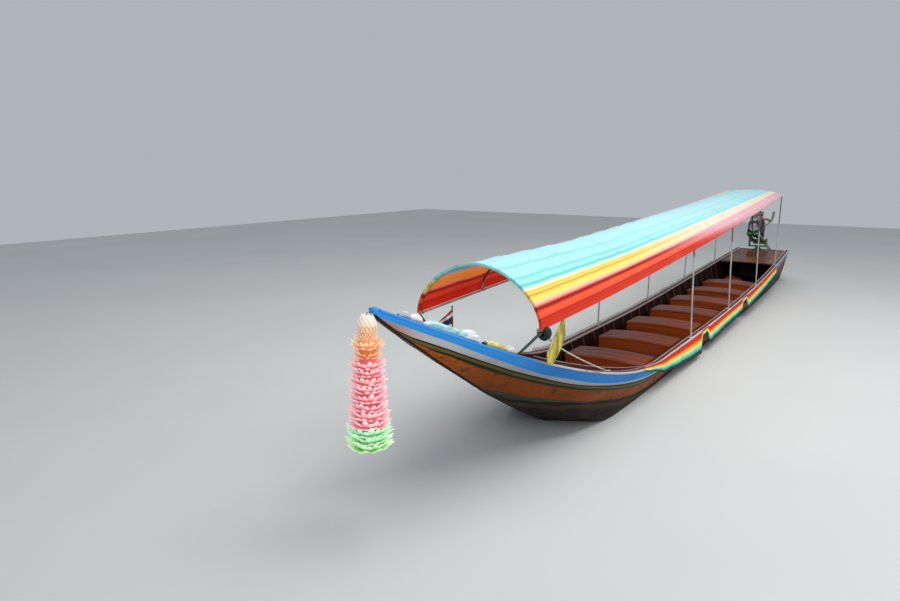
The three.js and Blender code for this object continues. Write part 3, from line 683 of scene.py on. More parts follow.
# %% Planking
def make_hull():
    outside, inside, marks = [], [], []
    for s in hull_stations:
        outer, inner, bands = hull_row(s)
        outside += [place(s, y, z) for y, z in outer + [(-y, z) for y, z in outer[-2::-1]]]
        inside += [place(s, y, z) for y, z in inner + [(-y, z) for y, z in inner[-2::-1]]]
        marks += bands + bands[-2::-1]
    rows, columns = len(hull_stations), len(outside) // len(hull_stations)
    count = len(outside)
    faces = grid_faces(rows, columns) + grid_faces(rows, columns, turned=True, start=count)
    for r in range(rows - 1):
        a, b = r * columns, (r + 1) * columns
        faces.append((a, b, b + count, a + count))
        a, b = a + columns - 1, b + columns - 1
        faces.append((b, a, a + count, b + count))
    last = (rows - 1) * columns
    for c in range(columns - 1):
        faces.append((c + 1, c, c + count, c + 1 + count))
        faces.append((last + c, last + c + 1, last + c + 1 + count, last + c + count))
    points = outside + inside
    if volume_sign(points, faces) < 0:
        faces = [tuple(reversed(f)) for f in faces]
    solids = ("bow_side_port", "bow_side_starboard", "hull_side_port", "hull_side_starboard",
              "bow_bottom", "hull_bottom")
    return make_piece("hull_planking", points, faces, "hull", "varnished_wood", hull_finish, solids, 50,
                      {"band": marks + [-1.0] * count})


hull = make_hull()
print("hull planking:", len(hull.data.polygons), "faces")

# %% [markdown]
# ## Mooring rope
# Cords come early, because their size and place are checked. This line is made fast to the canopy
# rail and hangs in a slack curve down to the covering board. Its route is the same as in the CAD
# part. The tube is wavy in cross section, and the waves turn along it, as three strands do.

# %% Mooring rope
ROPE_ROUTE = [
    (6.0, 0.617, 1.3878), (6.0, 0.617, 1.372), (5.9, 0.605, 1.29), (5.623, 0.6, 1.136),
    (5.265, 0.592, 0.97), (4.91, 0.604, 0.812), (4.64, 0.634, 0.694), (4.52, 0.64, 0.6455),
    (4.44, 0.64, 0.6255),
]
ROPE_RADIUS = 0.007
ROPE_STEP = 0.006
STRANDS = 3
ROPE_PITCH = 0.055


def rope_finish(name, light, dark):
    finish = Finish(name, {})
    dirt = finish.noise(9, 3).above(0.55, 0.3)
    colour = finish.mix(light, dark, (1 - finish.kept("part")) * 0.7 + dirt * 0.25)
    return finish.wear(colour, 0.8 + dirt * 0.1, finish.bump(finish.noise(260, 2), 0.3, 0.001))


def lay_rope(name, route, radius, finish, stands_for):
    """A laid rope: its strands show as ridges that wind along it."""
    path, length = smooth_path(route, ROPE_STEP)
    rings, ridges = [], []
    for i, (point, side, up, _) in enumerate(cross_frames(path)):
        turn = 2 * pi * i * ROPE_STEP / ROPE_PITCH
        ring = []
        for a in turns(18):
            ridge = abs(cos(STRANDS * (a - turn / STRANDS) / 2))
            ring.append(point + (side * cos(a) + up * sin(a)) * (radius * (0.8 + 0.2 * ridge)))
            ridges.append(ridge)
        rings.append(ring)
    return Shapes().loft(rings, ridges).finish(name, "hull", "rope", finish, stands_for, 60), path, length


white_rope = rope_finish("white_rope", tone(226, 222, 212), tone(140, 132, 118))
mooring, mooring_path, mooring_length = lay_rope("mooring_rope", ROPE_ROUTE, ROPE_RADIUS, white_rope,
                                                 ("bow_rope",))
tuple(mooring_path[0])
[tuple(p) for p in mooring_path]
print("mooring rope:", round(mooring_length, 3), "m")

# %% [markdown]
# ## Covering boards, side decks and stem head
# The covering board closes the top of the side. Ahead it is painted blue like the strake below
# it, and further aft it is maroon with a pale line along each edge. Inside it, from the foredeck
# to the waist, a narrow side deck carries a raised edge that keeps spray out of the well. Both are
# one closed outline, lofted along the sheer. A small block caps the tip of the bow.

# %% Gunwale paint
def gunwale_paint():
    finish = Finish("gunwale_paint", {"Coat Roughness": 0.2, "Specular IOR Level": 0.15})
    across, station = finish.kept("across"), BOW_X - finish.axis(0)
    worn = finish.noise(7, 5, (0.4, 1, 1)).above(0.6, 0.12)
    lines = (1 - across.above(0.16, 0.04) + across.above(0.8, 0.04)) * station.above(1.4, 0.4)
    rim = finish.mix((58, 150, 232), (186, 190, 194), station.above(1.7, 0.4))
    colour = finish.layers(
        (64, 158, 236), ((80, 40, 46), station.above(1.45, 0.5)), ((222, 200, 198), lines * 0.9),
        (rim, across.above(1.02, 0.02)), ((120, 86, 66), worn * 0.5))
    return finish.wear(colour, 0.5 + worn * 0.3,
                       finish.bump(finish.noise(1, 4, (3, 40, 40)), 0.12, 0.002),
                       {"Coat Weight": 0.08 - worn * 0.05})


gunwale_finish = gunwale_paint()
print("gunwale finish:", gunwale_finish.name)

# %% Covering boards, side decks and stem head
def both_sides(stations, outline):
    """A closed outline lofted along each gunwale. It gives y, z and a mark for each of its points."""
    shape = Shapes()
    for side in (1, -1):
        rings, marks = [], []
        for s in stations:
            ring = outline(s)
            rings.append([place(s, side * y, z) for y, z, _ in ring])
            marks += [mark for _, _, mark in ring]
        shape.loft(rings, marks)
    return shape


def board_outline(s):
    inner, outer = max(half_beam(s) - 0.078, 0.004), half_beam(s) + 0.012
    low, high = sheer_z(s) + 0.0003, board_top(s)
    ring = [(inner, low, 0), (inner, high - 0.004, 0), (inner + 0.004, high, 0.04)]
    ring += [(inner + (outer - inner) * t, high, t) for t in (0.16, 0.5, 0.82)]
    return ring + [(outer - 0.007, high, 0.97), (outer, high - 0.008, 1.1), (outer, low + 0.004, 1.1),
                   (outer - 0.004, low, 1.1)]


# Station, width and the height of the raised edge above the deck.
SIDE_DECK = [(1.953, 0.19, 0.055), (2.6, 0.17, 0.048), (3.25, 0.142, 0.034), (3.9, 0.06, 0.013),
             (4.15, 0.02, 0.005)]


def side_deck_outline(s):
    outer, high = half_beam(s) - 0.0795, sheer_z(s) + 0.016
    inner, lip = outer - from_table(SIDE_DECK, s), from_table(SIDE_DECK, s, 2)
    edge = inner + min(0.014, (outer - inner) * 0.3)
    return [(inner, high - 0.045, 0.4), (inner, high + lip - 0.004, 0.16), (inner + 0.003, high + lip, 0.1),
            (edge, high + lip, 0.1), (edge, high, 0.5), (outer, high, 0.7), (outer, high - 0.02, 0.7),
            (edge, high - 0.02, 0.5), (edge, high - 0.045, 0.5)]


covering_boards = both_sides([s for s in hull_stations if s > 0.02], board_outline).finish(
    "covering_boards", "hull", "deck_paint", gunwale_finish,
    ("covering_board_port", "covering_board_starboard"),
    40, "across")
side_decks = both_sides(spaced(SIDE_DECK[0][0], SIDE_DECK[-1][0], 40), side_deck_outline).finish(
    "side_decks", "hull", "deck_paint", gunwale_finish, (), 30, "across")
stem_head = Shapes().box((7.456, -0.036, 1.7), (7.507, 0.036, 1.756), 0.014, 0.5).finish(
    "stem_head", "hull", "deck_paint", hull_finish, (), 50, "band")
print("covering boards:", len(covering_boards.data.polygons), "faces, side decks:",
      len(side_decks.data.polygons))

# %% [markdown]
# ## Planked decks
# A deck is a row of planks with open seams, each as wide as its share of the hull at that station.
# One loft for each plank keeps the seams real, so that light falls into them, and every plank gets
# its own number, from which the paint takes a slightly different tint.

# %% Planked decks
def plank_deck(name, first, last, thickness, count, finish, slot, stands_for, level, reach, seam=0.004):
    """Planks that run fore and aft between two stations and taper with the hull."""
    deck = Shapes()
    stations_used = [first] + [s for s in hull_stations if first < s < last] + [last]
    for k in range(count):
        rings, tint = [], random.Random(k * 7 + count).random()
        for s in stations_used:
            half = reach(s)
            a = -half + 2 * half * k / count + seam / 2 * (k > 0)
            b = -half + 2 * half * (k + 1) / count - seam / 2 * (k < count - 1)
            edge = min(0.002, (b - a) / 4)
            za, zb = level(s, a), level(s, b)
            rings.append([
                place(s, a, za - thickness), place(s, a, za - edge), place(s, a + edge, za),
                place(s, (a + b) / 2, level(s, (a + b) / 2)),
                place(s, b - edge, zb), place(s, b, zb - edge), place(s, b, zb - thickness),
            ])
        deck.loft(rings, tint)
    return deck.finish(name, "hull", slot, finish, stands_for, 30, "tint")


def deck_reach(s):
    return inside_y(s, deck_z(s, 0) - 0.01) - 0.001


def tinted(name, low, high, gloss=0.45, coat=0.2, worn_tone=tone(120, 92, 74)):
    """Painted or oiled boards: each has its own tint, its own grain and worn edges."""
    finish = Finish(name, {"Coat Roughness": 0.2})
    grain = finish.noise(1, 5, (1.5, 30, 30))
    worn = finish.noise(3.5, 5).above(0.57, 0.16)
    colour = finish.layers(low, (high, finish.kept("tint") * 0.7 + grain * 0.5), (worn_tone, worn * 0.35))
    return finish.wear(colour, gloss + worn * 0.25, finish.bump(grain, 0.25, 0.002),
                       {"Coat Weight": coat - worn * coat * 0.6})


DECK_PLANK = 0.02
foredeck_finish = tinted("foredeck_boards", tone(98, 34, 38), tone(128, 52, 50))
foredeck = plank_deck("foredeck_planks", 0.045, 1.95, DECK_PLANK, 9, foredeck_finish, "deck_paint",
                      ("foredeck",),
                      deck_z, deck_reach)
aft_finish = tinted("aft_deck_boards", tone(92, 48, 30), tone(138, 84, 52), 0.5, 0.1)
aft_deck = plank_deck("aft_deck_planks", 13.3, 14.97, DECK_PLANK, 11, aft_finish, "bare_wood", ("aft_deck",),
                      deck_z, deck_reach)
print("deck planks:", len(foredeck.data.polygons), len(aft_deck.data.polygons))

# %% [markdown]
# ## Floor and frames
# One walks on loose fore-and-aft boards, and sawn frames stiffen the sides. The floor's height and
# width are read from the CAD floor, so that the planks lie exactly where the solid does. The
# frames follow the inside of the planking at each station.

# %% Floor and frames
cad_floor = {}
for x, y, z in (v.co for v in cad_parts["floor_boards"].data.vertices):
    cad_floor.setdefault(round(float(x), 4), []).append((float(z), abs(float(y))))
FLOOR = [(x, max(z for z, y in cad_floor[x]), max(y for z, y in cad_floor[x])) for x in sorted(cad_floor)]


def floor_z(s):
    return from_table(FLOOR, BOW_X - s)


# The floor boards are a dark oil finish, made darker still as painted shade in the well between the benches.
floor_finish = tinted("floor_boards_oiled", tone(52, 25, 16), tone(92, 48, 30), 0.45, 0.12, tone(80, 58, 46))
floor_planks = plank_deck(
    "floor_planks", BOW_X - FLOOR[-1][0], BOW_X - FLOOR[0][0], 0.018, 8, floor_finish, "varnished_wood",
    ("floor_boards",), lambda s, y: floor_z(s), lambda s: from_table(FLOOR, BOW_X - s, 2) - 0.001, 0.007)


FRAME_COUNT, FIRST_FRAME, FRAME_PITCH = 27, 2.6, 0.4


def make_frames():
    frames, half, chamfer = Shapes(), 0.02, 0.004
    for s in [FIRST_FRAME + FRAME_PITCH * i for i in range(FRAME_COUNT)]:
        x, low, high = BOW_X - s, floor_z(s) + 0.004, sheer_z(s) - 0.004
        for side in (1, -1):
            rings = []
            for t in spaced(0, 1, 8):
                z = low + (high - low) * t
                y = inside_y(s, z) - 0.0015
                deep = 0.03 - 0.006 * t
                rings.append([
                    (x - half, side * y, z), (x + half, side * y, z),
                    (x + half, side * (y - deep + chamfer), z),
                    (x + 0.016, side * (y - deep), z), (x - 0.016, side * (y - deep), z),
                    (x - half, side * (y - deep + chamfer), z),
                ])
            frames.loft(rings)
    return frames.finish("side_frames", "hull", "varnished_wood", frame_varnish)


side_frames = make_frames()
print("floor from station", round(BOW_X - FLOOR[-1][0], 2), "to", round(BOW_X - FLOOR[0][0], 2))

# %% [markdown]
# ## Benches
# Seven box benches cross the boat. Each seat is crowned and made of three boards, the first with a
# rounded nose, over a deep varnished front, two end boards and three bearers. A board is a loft of
# one outline across the boat, because that gives the crown and the nose in one go.

# %% Seats
BENCH_HALF = 0.52
BENCH_COUNT, FIRST_BENCH, BENCH_PITCH = 7, 4.48, 1.165
# Front and back edge of each board, aft of the seat's front, and how round its nose is.
SEAT_BOARDS = ((0.0, 0.15, 0.012), (0.154, 0.322, 0.003), (0.326, 0.5, 0.003))


def seat_z(y):
    return 0.336 - 0.026 * (y / BENCH_HALF) ** 2


def seat_board(shape, front, back, nose, tint):
    """One board of the seat, crowned across the boat, with its front edge rounded."""
    rings = []
    for y in spaced(-BENCH_HALF, BENCH_HALF, 24):
        z, low = seat_z(y), seat_z(y) - 0.028
        rings.append([
            (front - 0.004, y, low), (front, y, low + 0.005), (front, y, z - nose),
            (front - 0.3 * nose, y, z - 0.3 * nose), (front - nose, y, z), (back + 0.003, y, z),
            (back, y, z - 0.003), (back, y, low),
        ])
    shape.loft(rings, tint)


print("height of a seat, middle and end:", seat_z(0), round(seat_z(BENCH_HALF), 3))

# %% Benches
def make_bench(i):
    front = BOW_X - FIRST_BENCH - BENCH_PITCH * i
    shape, tints = Shapes(), random.Random(40 + i)
    for a, b, nose in SEAT_BOARDS:
        seat_board(shape, front - a, front - b, nose, tints.random())
    rings = []
    for y in spaced(-BENCH_HALF + 0.003, BENCH_HALF - 0.003, 24):
        z = seat_z(y) - 0.0285
        low = 0.146 + 0.018 * cos(pi * y / BENCH_HALF / 2) ** 2
        rings.append([(front - 0.008, y, low + 0.003), (front - 0.008, y, z), (front - 0.034, y, z),
                      (front - 0.034, y, low)])
    shape.loft(rings, tints.random())
    top, bottom = seat_z(BENCH_HALF - 0.03) - 0.0292, -0.0457
    for side in (1, -1):
        shape.loft([[(front - 0.036, y, bottom), (front - 0.036, y, top), (front - 0.498, y, top),
                     (front - 0.498, y, bottom)] for y in (side * (BENCH_HALF - 0.028), side * BENCH_HALF)],
                   tints.random())
    for x in (0.05, 0.25, 0.46):
        shape.box((front - x - 0.03, -BENCH_HALF + 0.03, 0.262), (front - x, BENCH_HALF - 0.03, 0.281),
                  0.002, tints.random())
    return shape.finish(f"bench_{i + 1}_boards", "hull", "varnished_wood", seat_finish, (f"bench_{i + 1}",),
                        30, "tint")


def seat_varnish():
    """Tops that face up are darkened and greyed as a painted reflection of the sky, with pale painted
    highlights on their worn patches; the upright boards keep their warm varnish. Worn patches are also
    rougher, with less coat.
    """
    finish = Finish("seat_varnish", {"Coat Roughness": 0.12, "Specular IOR Level": 0.2})
    grain = finish.noise(1, 5, (36, 1.6, 36))
    figure = finish.noise(1, 3, (9, 0.8, 9))
    worn = finish.noise(4, 5).above(0.6, 0.15)
    # Faces that look up carry the painted reflection: dark grey, with pale painted highlights where worn is
    # high.
    seat = finish.facing(2).above(0.8, 0.2)
    colour = finish.layers(
        finish.ramp(grain * 0.5 + figure * 0.35 + finish.kept("tint") * 0.15,
                    stops((0.26, 120, 48, 20), (0.5, 178, 80, 34), (0.74, 146, 62, 26))),
        ((66, 38, 32), seat * 0.55), ((150, 104, 92), seat * worn * 0.3))
    return finish.wear(colour, 0.4 + worn * 0.2, finish.bump(grain, 0.15, 0.0015),
                       {"Coat Weight": 0.12 - worn * 0.08})


seat_finish = seat_varnish()
benches = [make_bench(i) for i in range(BENCH_COUNT)]
print("benches:", [b.name for b in benches])

# %% [markdown]
# ## Canopy frame
# Eleven hoops of galvanised pipe carry the cloth, joined by a rail along each side. Every second
# hoop aft of the waist runs on down to the covering boards as posts. Struts hold up the first one.

# %% Lines of the canopy
FRONT_HOOP, POST, POST_PITCH = 1.419, 6.026, 2.307
hoops = spaced(FRONT_HOOP, POST, 4) + spaced(POST, POST + 3 * POST_PITCH, 6)[1:]


def rail_z(s):
    aft = s - FRONT_HOOP
    return 1.41 + 0.04 * aft + 0.0019 * aft * aft


def ridge_z(s):
    return 1.908 + 0.036 * max(0, s - 3.8)


def canopy_half(s):
    return 0.663 - 0.025 * part_of(1 - (s - FRONT_HOOP) / 2.2) ** 2


def arch(s, angle, offset=0.0):
    """A point of the arch: angle 0 at the port rail, half a turn at the starboard one."""
    half, rise = canopy_half(s), ridge_z(s) - rail_z(s)
    c, q = cos(angle), max(0.0, sin(angle))
    y = copysign(abs(c) ** (2 / 1.78) * half, c)
    z = q ** (2 / 1.78) * rise
    out = Vector((y / half ** 2, z / rise ** 2)).normalized()
    return Vector((y + out.x * offset, rail_z(s) + z + out.y * offset))


print("hoops at stations", [round(s, 2) for s in hoops])

# %% Canopy frame
def pipe_finish(name, light, dark, metal):
    """Steel pipe with dull patches and rust spots. Above about 1.5 m, under the cloth, it is tinted a dull
    red-brown as painted shade.
    """
    finish = Finish(name, {})
    dull = finish.noise(6, 5).above(0.5, 0.35)
    spots = finish.noise(55, 4).above(0.64, 0.06)
    # Painted shade under the red cloth: the pipe above about 1.5 m is tinted dull red-brown.
    shade_under_cloth = finish.axis(2).above(1.53, 0.06)
    front = 1 - (BOW_X - finish.axis(0)).above(1.46, 0.03)
    colour = finish.layers(light, (dark, dull * 0.55), ((118, 74, 44), spots * 0.6),
                           ((116, 44, 30), shade_under_cloth * 0.85), ((84, 104, 92), front * 0.8))
    return finish.wear(colour, 0.36 + dull * 0.22 + spots * 0.25,
                       finish.bump(finish.noise(90, 3), 0.08, 0.001),
                       {"Metallic": metal - spots * metal})


galvanised = pipe_finish("galvanised_pipe", tone(206, 208, 210), tone(142, 146, 150), 0.55)
dark_steel = pipe_finish("dark_steel", tone(74, 82, 86), tone(34, 38, 40), 0.5)
PIPE = 0.011
RAIL_INSET, RAIL_DROP = 0.0228, 0.014


def rail_point(s, side, ahead=0.0):
    """The rails run just inside and below the feet of the arches."""
    return (BOW_X - s + ahead, side * (canopy_half(s) - RAIL_INSET), rail_z(s) - RAIL_DROP)


def add_hoop(pipes, s):
    x, foot_y, foot_z = BOW_X - s, half_beam(s) - 0.025, board_top(s) + 0.0012
    half, rail = canopy_half(s), rail_z(s)
    posts = s >= POST - 0.01 and abs(((s - POST) / POST_PITCH) % 1 - 0.5) > 0.4
    legs = []
    for side in (1, -1):
        leg = [(x, side * half, rail - 0.026)]
        if posts:
            leg = [(x, side * foot_y, foot_z), (x, side * foot_y, foot_z + 0.05),
                   (x, side * (foot_y - 0.001), foot_z + 0.07), (x, side * (half + 0.001), rail - 0.07),
                   (x, side * half, rail - 0.05)]
            flange = [(0, 0), (0.03, 0), (0.03, 0.005), (0.016, 0.008), (0.015, 0.03), (0, 0.03)]
            pipes.turned(flange, (x, side * foot_y, foot_z + 0.0002), (0, 0, 1), 20)
        legs.append(leg)
    line = legs[0] + [(x, *arch(s, a)) for a in spaced(0, pi, 40)] + legs[1][::-1]
    pipes.tube(line, PIPE, 16)


frame_pipes = Shapes()
for s in hoops:
    add_hoop(frame_pipes, s)
for side in (1, -1):
    rail = [rail_point(s, side) for s in spaced(FRONT_HOOP, hoops[-1], 60)]
    frame_pipes.tube(rail + [rail_point(hoops[-1], side, -0.03)], PIPE, 16)
canopy_pipes = frame_pipes.finish(
    "canopy_pipes", "hull", "pipe", galvanised,
    tuple(f"canopy_bow_{i}" for i in range(1, 12)) + ("canopy_rail_port", "canopy_rail_starboard"), 50)


def keep_solid(finish, *names):
    """A CAD solid whose own shape is right only needs a finish."""
    for name in names:
        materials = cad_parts[name].data.materials
        materials.clear()
        materials.append(finish)


keep_solid(dark_steel, "canopy_strut_port", "canopy_strut_starboard")
print("canopy pipes:", len(canopy_pipes.data.polygons), "faces")

# %% [markdown]
# ## Canopy cloth
# One sheet of striped tarpaulin is pulled over the hoops and lashed to the rails. It rests on each
# hoop and sinks a little between them, and the pull along the boat leaves long creases. The sheet
# is a grid with a true width and length in its UV map, so the stripes and the creases follow it.

# %% Canopy cloth paint
# Place across the cloth, 0 at a hem and 1 at the ridge, and the colour seen there. Most darker lines
# within a colour lie on the creases and are painted shade; the pale pink line between red and
# yellow is a painted highlight.
STRIPES_WITH_PAINTED_LIGHT = stops(
    (0.0, 230, 90, 60), (0.012, 214, 48, 16), (0.04, 224, 52, 16), (0.062, 204, 38, 10),
    (0.085, 216, 44, 14), (0.1, 166, 16, 2), (0.115, 246, 84, 46), (0.165, 250, 90, 48),
    (0.184, 210, 38, 12), (0.196, 146, 12, 2), (0.21, 146, 12, 2), (0.222, 226, 80, 52),
    (0.24, 246, 166, 150), (0.262, 244, 200, 168), (0.28, 244, 220, 118), (0.322, 242, 216, 96),
    (0.345, 206, 154, 48), (0.362, 240, 210, 100), (0.392, 226, 192, 78), (0.405, 246, 236, 160),
    (0.43, 216, 236, 210), (0.45, 116, 212, 202), (0.475, 104, 200, 196), (0.49, 150, 222, 218),
    (0.52, 160, 224, 220), (0.57, 128, 212, 208), (0.6, 168, 228, 226), (0.72, 166, 224, 224),
    (0.76, 140, 214, 214), (0.8, 172, 226, 228), (1.0, 170, 226, 230))


# The cloth is sewn from widths that meet near each hoop. Threads are radians of weave in a metre.
SEAM_PITCH = 1.15268
CANOPY_THREADS, SIDE_THREADS = 2600, 2200


def stripe_paint(name, deepen, faded_share, constants):
    """The stripes are the same on both sides of the ridge. Sun has bleached them towards the stern."""
    finish = Finish(name, {"Sheen Weight": 0.04, "Specular IOR Level": 0.2, **constants})
    spread, station = finish.kept("stripe"), BOW_X - finish.axis(0)
    # Below 1, deepen darkens the stripes, and the block below shifts them to red, orange and dark teal: on
    # the inside, painted shade and painted light shining through the cloth.
    dye = finish.ramp(spread, [(at, shade(colour, min(1, deepen * 1.1))) for at, colour in STRIPES_WITH_PAINTED_LIGHT])
    over_red, over_yellow = spread.above(0.27, 0.05), spread.above(0.44, 0.06)
    if deepen < 1:
        blue = spread.above(0.5, 0.08)
        dye = finish.layers(dye, ((196, 16, 8), 0.5 * (1 - spread.above(0.3, 0.1))),
                            ((255, 118, 14), 0.8 * over_red * (1 - blue)),
                            ((70, 128, 118), 0.6 * blue))
    pinked = (station + spread * 13).above(8.7, 3.8) * faded_share
    faded = station.above(5.6, 4.8) * faded_share
    dirt = finish.noise(1.6, 5, (0.6, 1, 1)).above(0.6, 0.25)
    seam = ((station - FRONT_HOOP) * (2 * pi / SEAM_PITCH) + pi / 2).wave().above(0.9985, 0.001)
    dye = finish.layers(
        dye, ((228, 190, 200), pinked * (1 - over_red) * 0.84),
        ((236, 222, 214), faded * over_red * (1 - over_yellow) * 0.8),
        ((178, 214, 224), faded * over_yellow * 0.5), ((150, 138, 120), dirt * 0.14),
        ((96, 84, 80), seam * 0.3 * station.above(3.0, 3.0)))
    weave = ((finish.across(0) * CANOPY_THREADS).wave() + (finish.across(1) * CANOPY_THREADS).wave()) * 0.5
    creases = finish.noise(1, 4, (0.5, 14, 14))
    return finish.wear(dye, 0.72 + dirt * 0.1, finish.bump(creases + weave * 0.02, 0.35, 0.012),
                       {"Emission Color": dye} if "Emission Strength" in constants else None)


canopy_outside = stripe_paint("canopy_cloth_outside", 1.0, 1.0, {})
# The inside is darker and glows faintly: painted shade under the canopy and painted light through the cloth.
canopy_inside = stripe_paint("canopy_cloth_inside", 0.7, 0.3, {"Emission Strength": 0.42})
print("canopy stripes:", len(STRIPES_WITH_PAINTED_LIGHT), "stops")

# %% [markdown]
# ## The sheet itself
# Light shines through the cloth, so its inside has the same stripes, deeper and faintly glowing.
# The creases are real folds in the grid. They fade out at each hoop, where the cloth is tight.

# %% Sag and creases
CREASES = (0.096, 0.205, 0.35, 0.49, 0.585, 0.74, 0.88)
CREASE_WIDTH = 0.011
SINK = 0.012


def canopy_line(s, dip):
    """Points across the canopy from the port hem to the starboard one."""
    points = []
    for a in spaced(0, pi, 128):
        sink = dip * sin(a) ** 0.5 if 0.02 < a < pi - 0.02 else 0.0
        points.append(arch(s, a, 0.0142 + s / 16000 - sink))
    hem, first, last = rail_z(s) - 0.012, points[0], points[-1]
    return [Vector((first.x, hem)), Vector((first.x, (hem + first.y) / 2))] + points + [
        Vector((last.x, (hem + last.y) / 2)), Vector((last.x, hem))]


def crease_depth(s, share, wrinkle):
    """Fine waves all over, and a few deep creases that run along the boat."""
    edge = min(1.0, 6 * min(share, 1 - share))
    fold = 0.0
    for k, (a, b, _) in enumerate(wrinkle):
        fold += sin(share * (60 + 22 * k) + a * 6 + s * b * 1.1) * 0.0009 * edge
    half_share = min(share, 1 - share) * 2
    for k, at in enumerate(CREASES):
        at += 0.006 * sin(s * (0.9 + 0.2 * k) + k) + (0.004 if share > 0.5 else 0)
        deep = 0.008 * (0.6 + 0.4 * sin(s * 1.7 + 2 * k)) * part_of(1.3 - s / 9)
        fold += deep * exp(-(((half_share - at) / CREASE_WIDTH) ** 2))
    return fold


def cloth_area(piece):
    return sum(f.area for f in piece.data.polygons)


def thicken(piece, thickness, offset=0.0):
    wall = piece.modifiers.new("cloth thickness", "SOLIDIFY")
    wall.thickness, wall.offset = thickness, offset
    return wall


print("points across the canopy:", len(canopy_line(5, SINK)))

# %% Canopy cloth
def make_canopy():
    """The first rows are the edge of the cloth that is turned in round the front hoop."""
    between = [a + (b - a) * t for a, b in zip(hoops, hoops[1:]) for t in (i / 18 for i in range(1, 18))]
    stations_used = sorted({FRONT_HOOP - 0.024, hoops[-1] + 0.024, *hoops, *between})
    turned_in = ((0.017, 0.037), (-0.014, 0.037), (-0.021, 0.034), (-0.0245, 0.026), (-0.0255, 0.012))
    rows = [(FRONT_HOOP + ahead, tuck) for ahead, tuck in turned_in] + [(s, 0.0) for s in stations_used]
    wrinkle = np.random.default_rng(11).uniform(-1, 1, (8, 3))
    points, uv, stripe = [], [], []
    for s, tuck in rows:
        near = min(abs(s - h) for h in hoops)
        dip = 0.0 if s < FRONT_HOOP or s > hoops[-1] else SINK * sin(pi * min(1, near / 0.576)) ** 0.7
        line = canopy_line(s, dip)
        gone = gone_by(line)
        for p, g in zip(line, gone):
            share = g / gone[-1]
            fold = crease_depth(s, share, wrinkle) * min(1.0, near / 0.15)
            inward = Vector((-p.x, -(p.y - rail_z(s) + 0.25))).normalized() * max(tuck, fold + 0.002)
            points.append((BOW_X - s, p.x + inward.x * 0.8, p.y + inward.y * 0.8))
            uv.append((g, s))
            stripe.append(1 - abs(2 * share - 1))
    sheet = make_piece("canopy_sheet", points, grid_faces(len(rows), len(line)), "hull", "canopy_cloth",
                       canopy_outside, ("canopy_cloth",), 60, {"stripe": stripe}, uv)
    if sum(f.normal.z * f.area for f in sheet.data.polygons) < 0:
        sheet.data.flip_normals()
    length, area = stations_used[-1] - stations_used[0], cloth_area(sheet)
    sheet.data.materials.append(canopy_inside)
    thicken(sheet, 0.0016, -1).material_offset = 1
    return sheet, area / length, length


canopy, canopy_width, canopy_length = make_canopy()
print("canopy cloth:", round(canopy_width, 2), "by", round(canopy_length, 2), "m")

# %% [markdown]
# ## Side cloths
# A long striped cloth hangs outside each gunwale from the waist to the stern, tied at its upper
# edge. Its hem rises at two places, to leave a way in. Folds grow from nothing at the tied edge
# to a centimetre at the hem.

# %% Side cloth paint
# Station and how far the hem hangs there.
HEM = [
    (3.95, 0.06), (4.3, 0.095), (4.7, 0.19), (5.166, 0.25), (5.9, 0.31), (6.42, 0.34), (6.52, 0.11),
    (6.82, 0.11), (6.92, 0.29), (8.0, 0.25), (9.2, 0.25), (9.3, 0.11), (9.6, 0.11), (9.7, 0.29),
    (11.2, 0.26), (12.9, 0.22),
]
SIDE_STRIPES = stops(
    (0.0, 232, 224, 224), (0.09, 240, 170, 160), (0.13, 216, 34, 10), (0.32, 228, 62, 6),
    (0.38, 250, 146, 30), (0.47, 255, 212, 72), (0.57, 252, 250, 156), (0.66, 150, 240, 200),
    (0.78, 90, 196, 186), (0.85, 24, 74, 56), (1.0, 22, 44, 36))


def side_cloth_paint():
    finish = Finish("side_cloth", {"Sheen Weight": 0.02, "Specular IOR Level": 0.12})
    down = finish.kept("down")
    dirt = finish.noise(5, 5, (0.7, 1, 1)).above(0.58, 0.2)
    splash = down.above(0.72, 0.3) * finish.noise(9, 4)
    dye = finish.mix(finish.ramp(down, SIDE_STRIPES), (92, 84, 66), dirt * 0.12 + splash * 0.3)
    weave = (finish.across(0) * SIDE_THREADS).wave() + (finish.across(1) * SIDE_THREADS).wave()
    return finish.wear(dye, 0.8 + dirt * 0.1,
                       finish.bump(finish.noise(1, 3, (10, 10, 3)) + weave * 0.01, 0.25, 0.006))


def lining_paint():
    finish = Finish("side_cloth_lining", {"Sheen Weight": 0.2})
    dirt = finish.noise(6, 4).above(0.55, 0.2)
    dye = finish.layers((240, 252, 244),
                        ((226, 190, 170), finish.kept("down").above(0.35, 0.2) * 0.5),
                        ((120, 120, 100), dirt * 0.3))
    return finish.wear(dye, 0.85 + dirt * 0.05)


side_cloth_finish, side_cloth_lining = side_cloth_paint(), lining_paint()
print("side stripes:", len(SIDE_STRIPES), "stops")

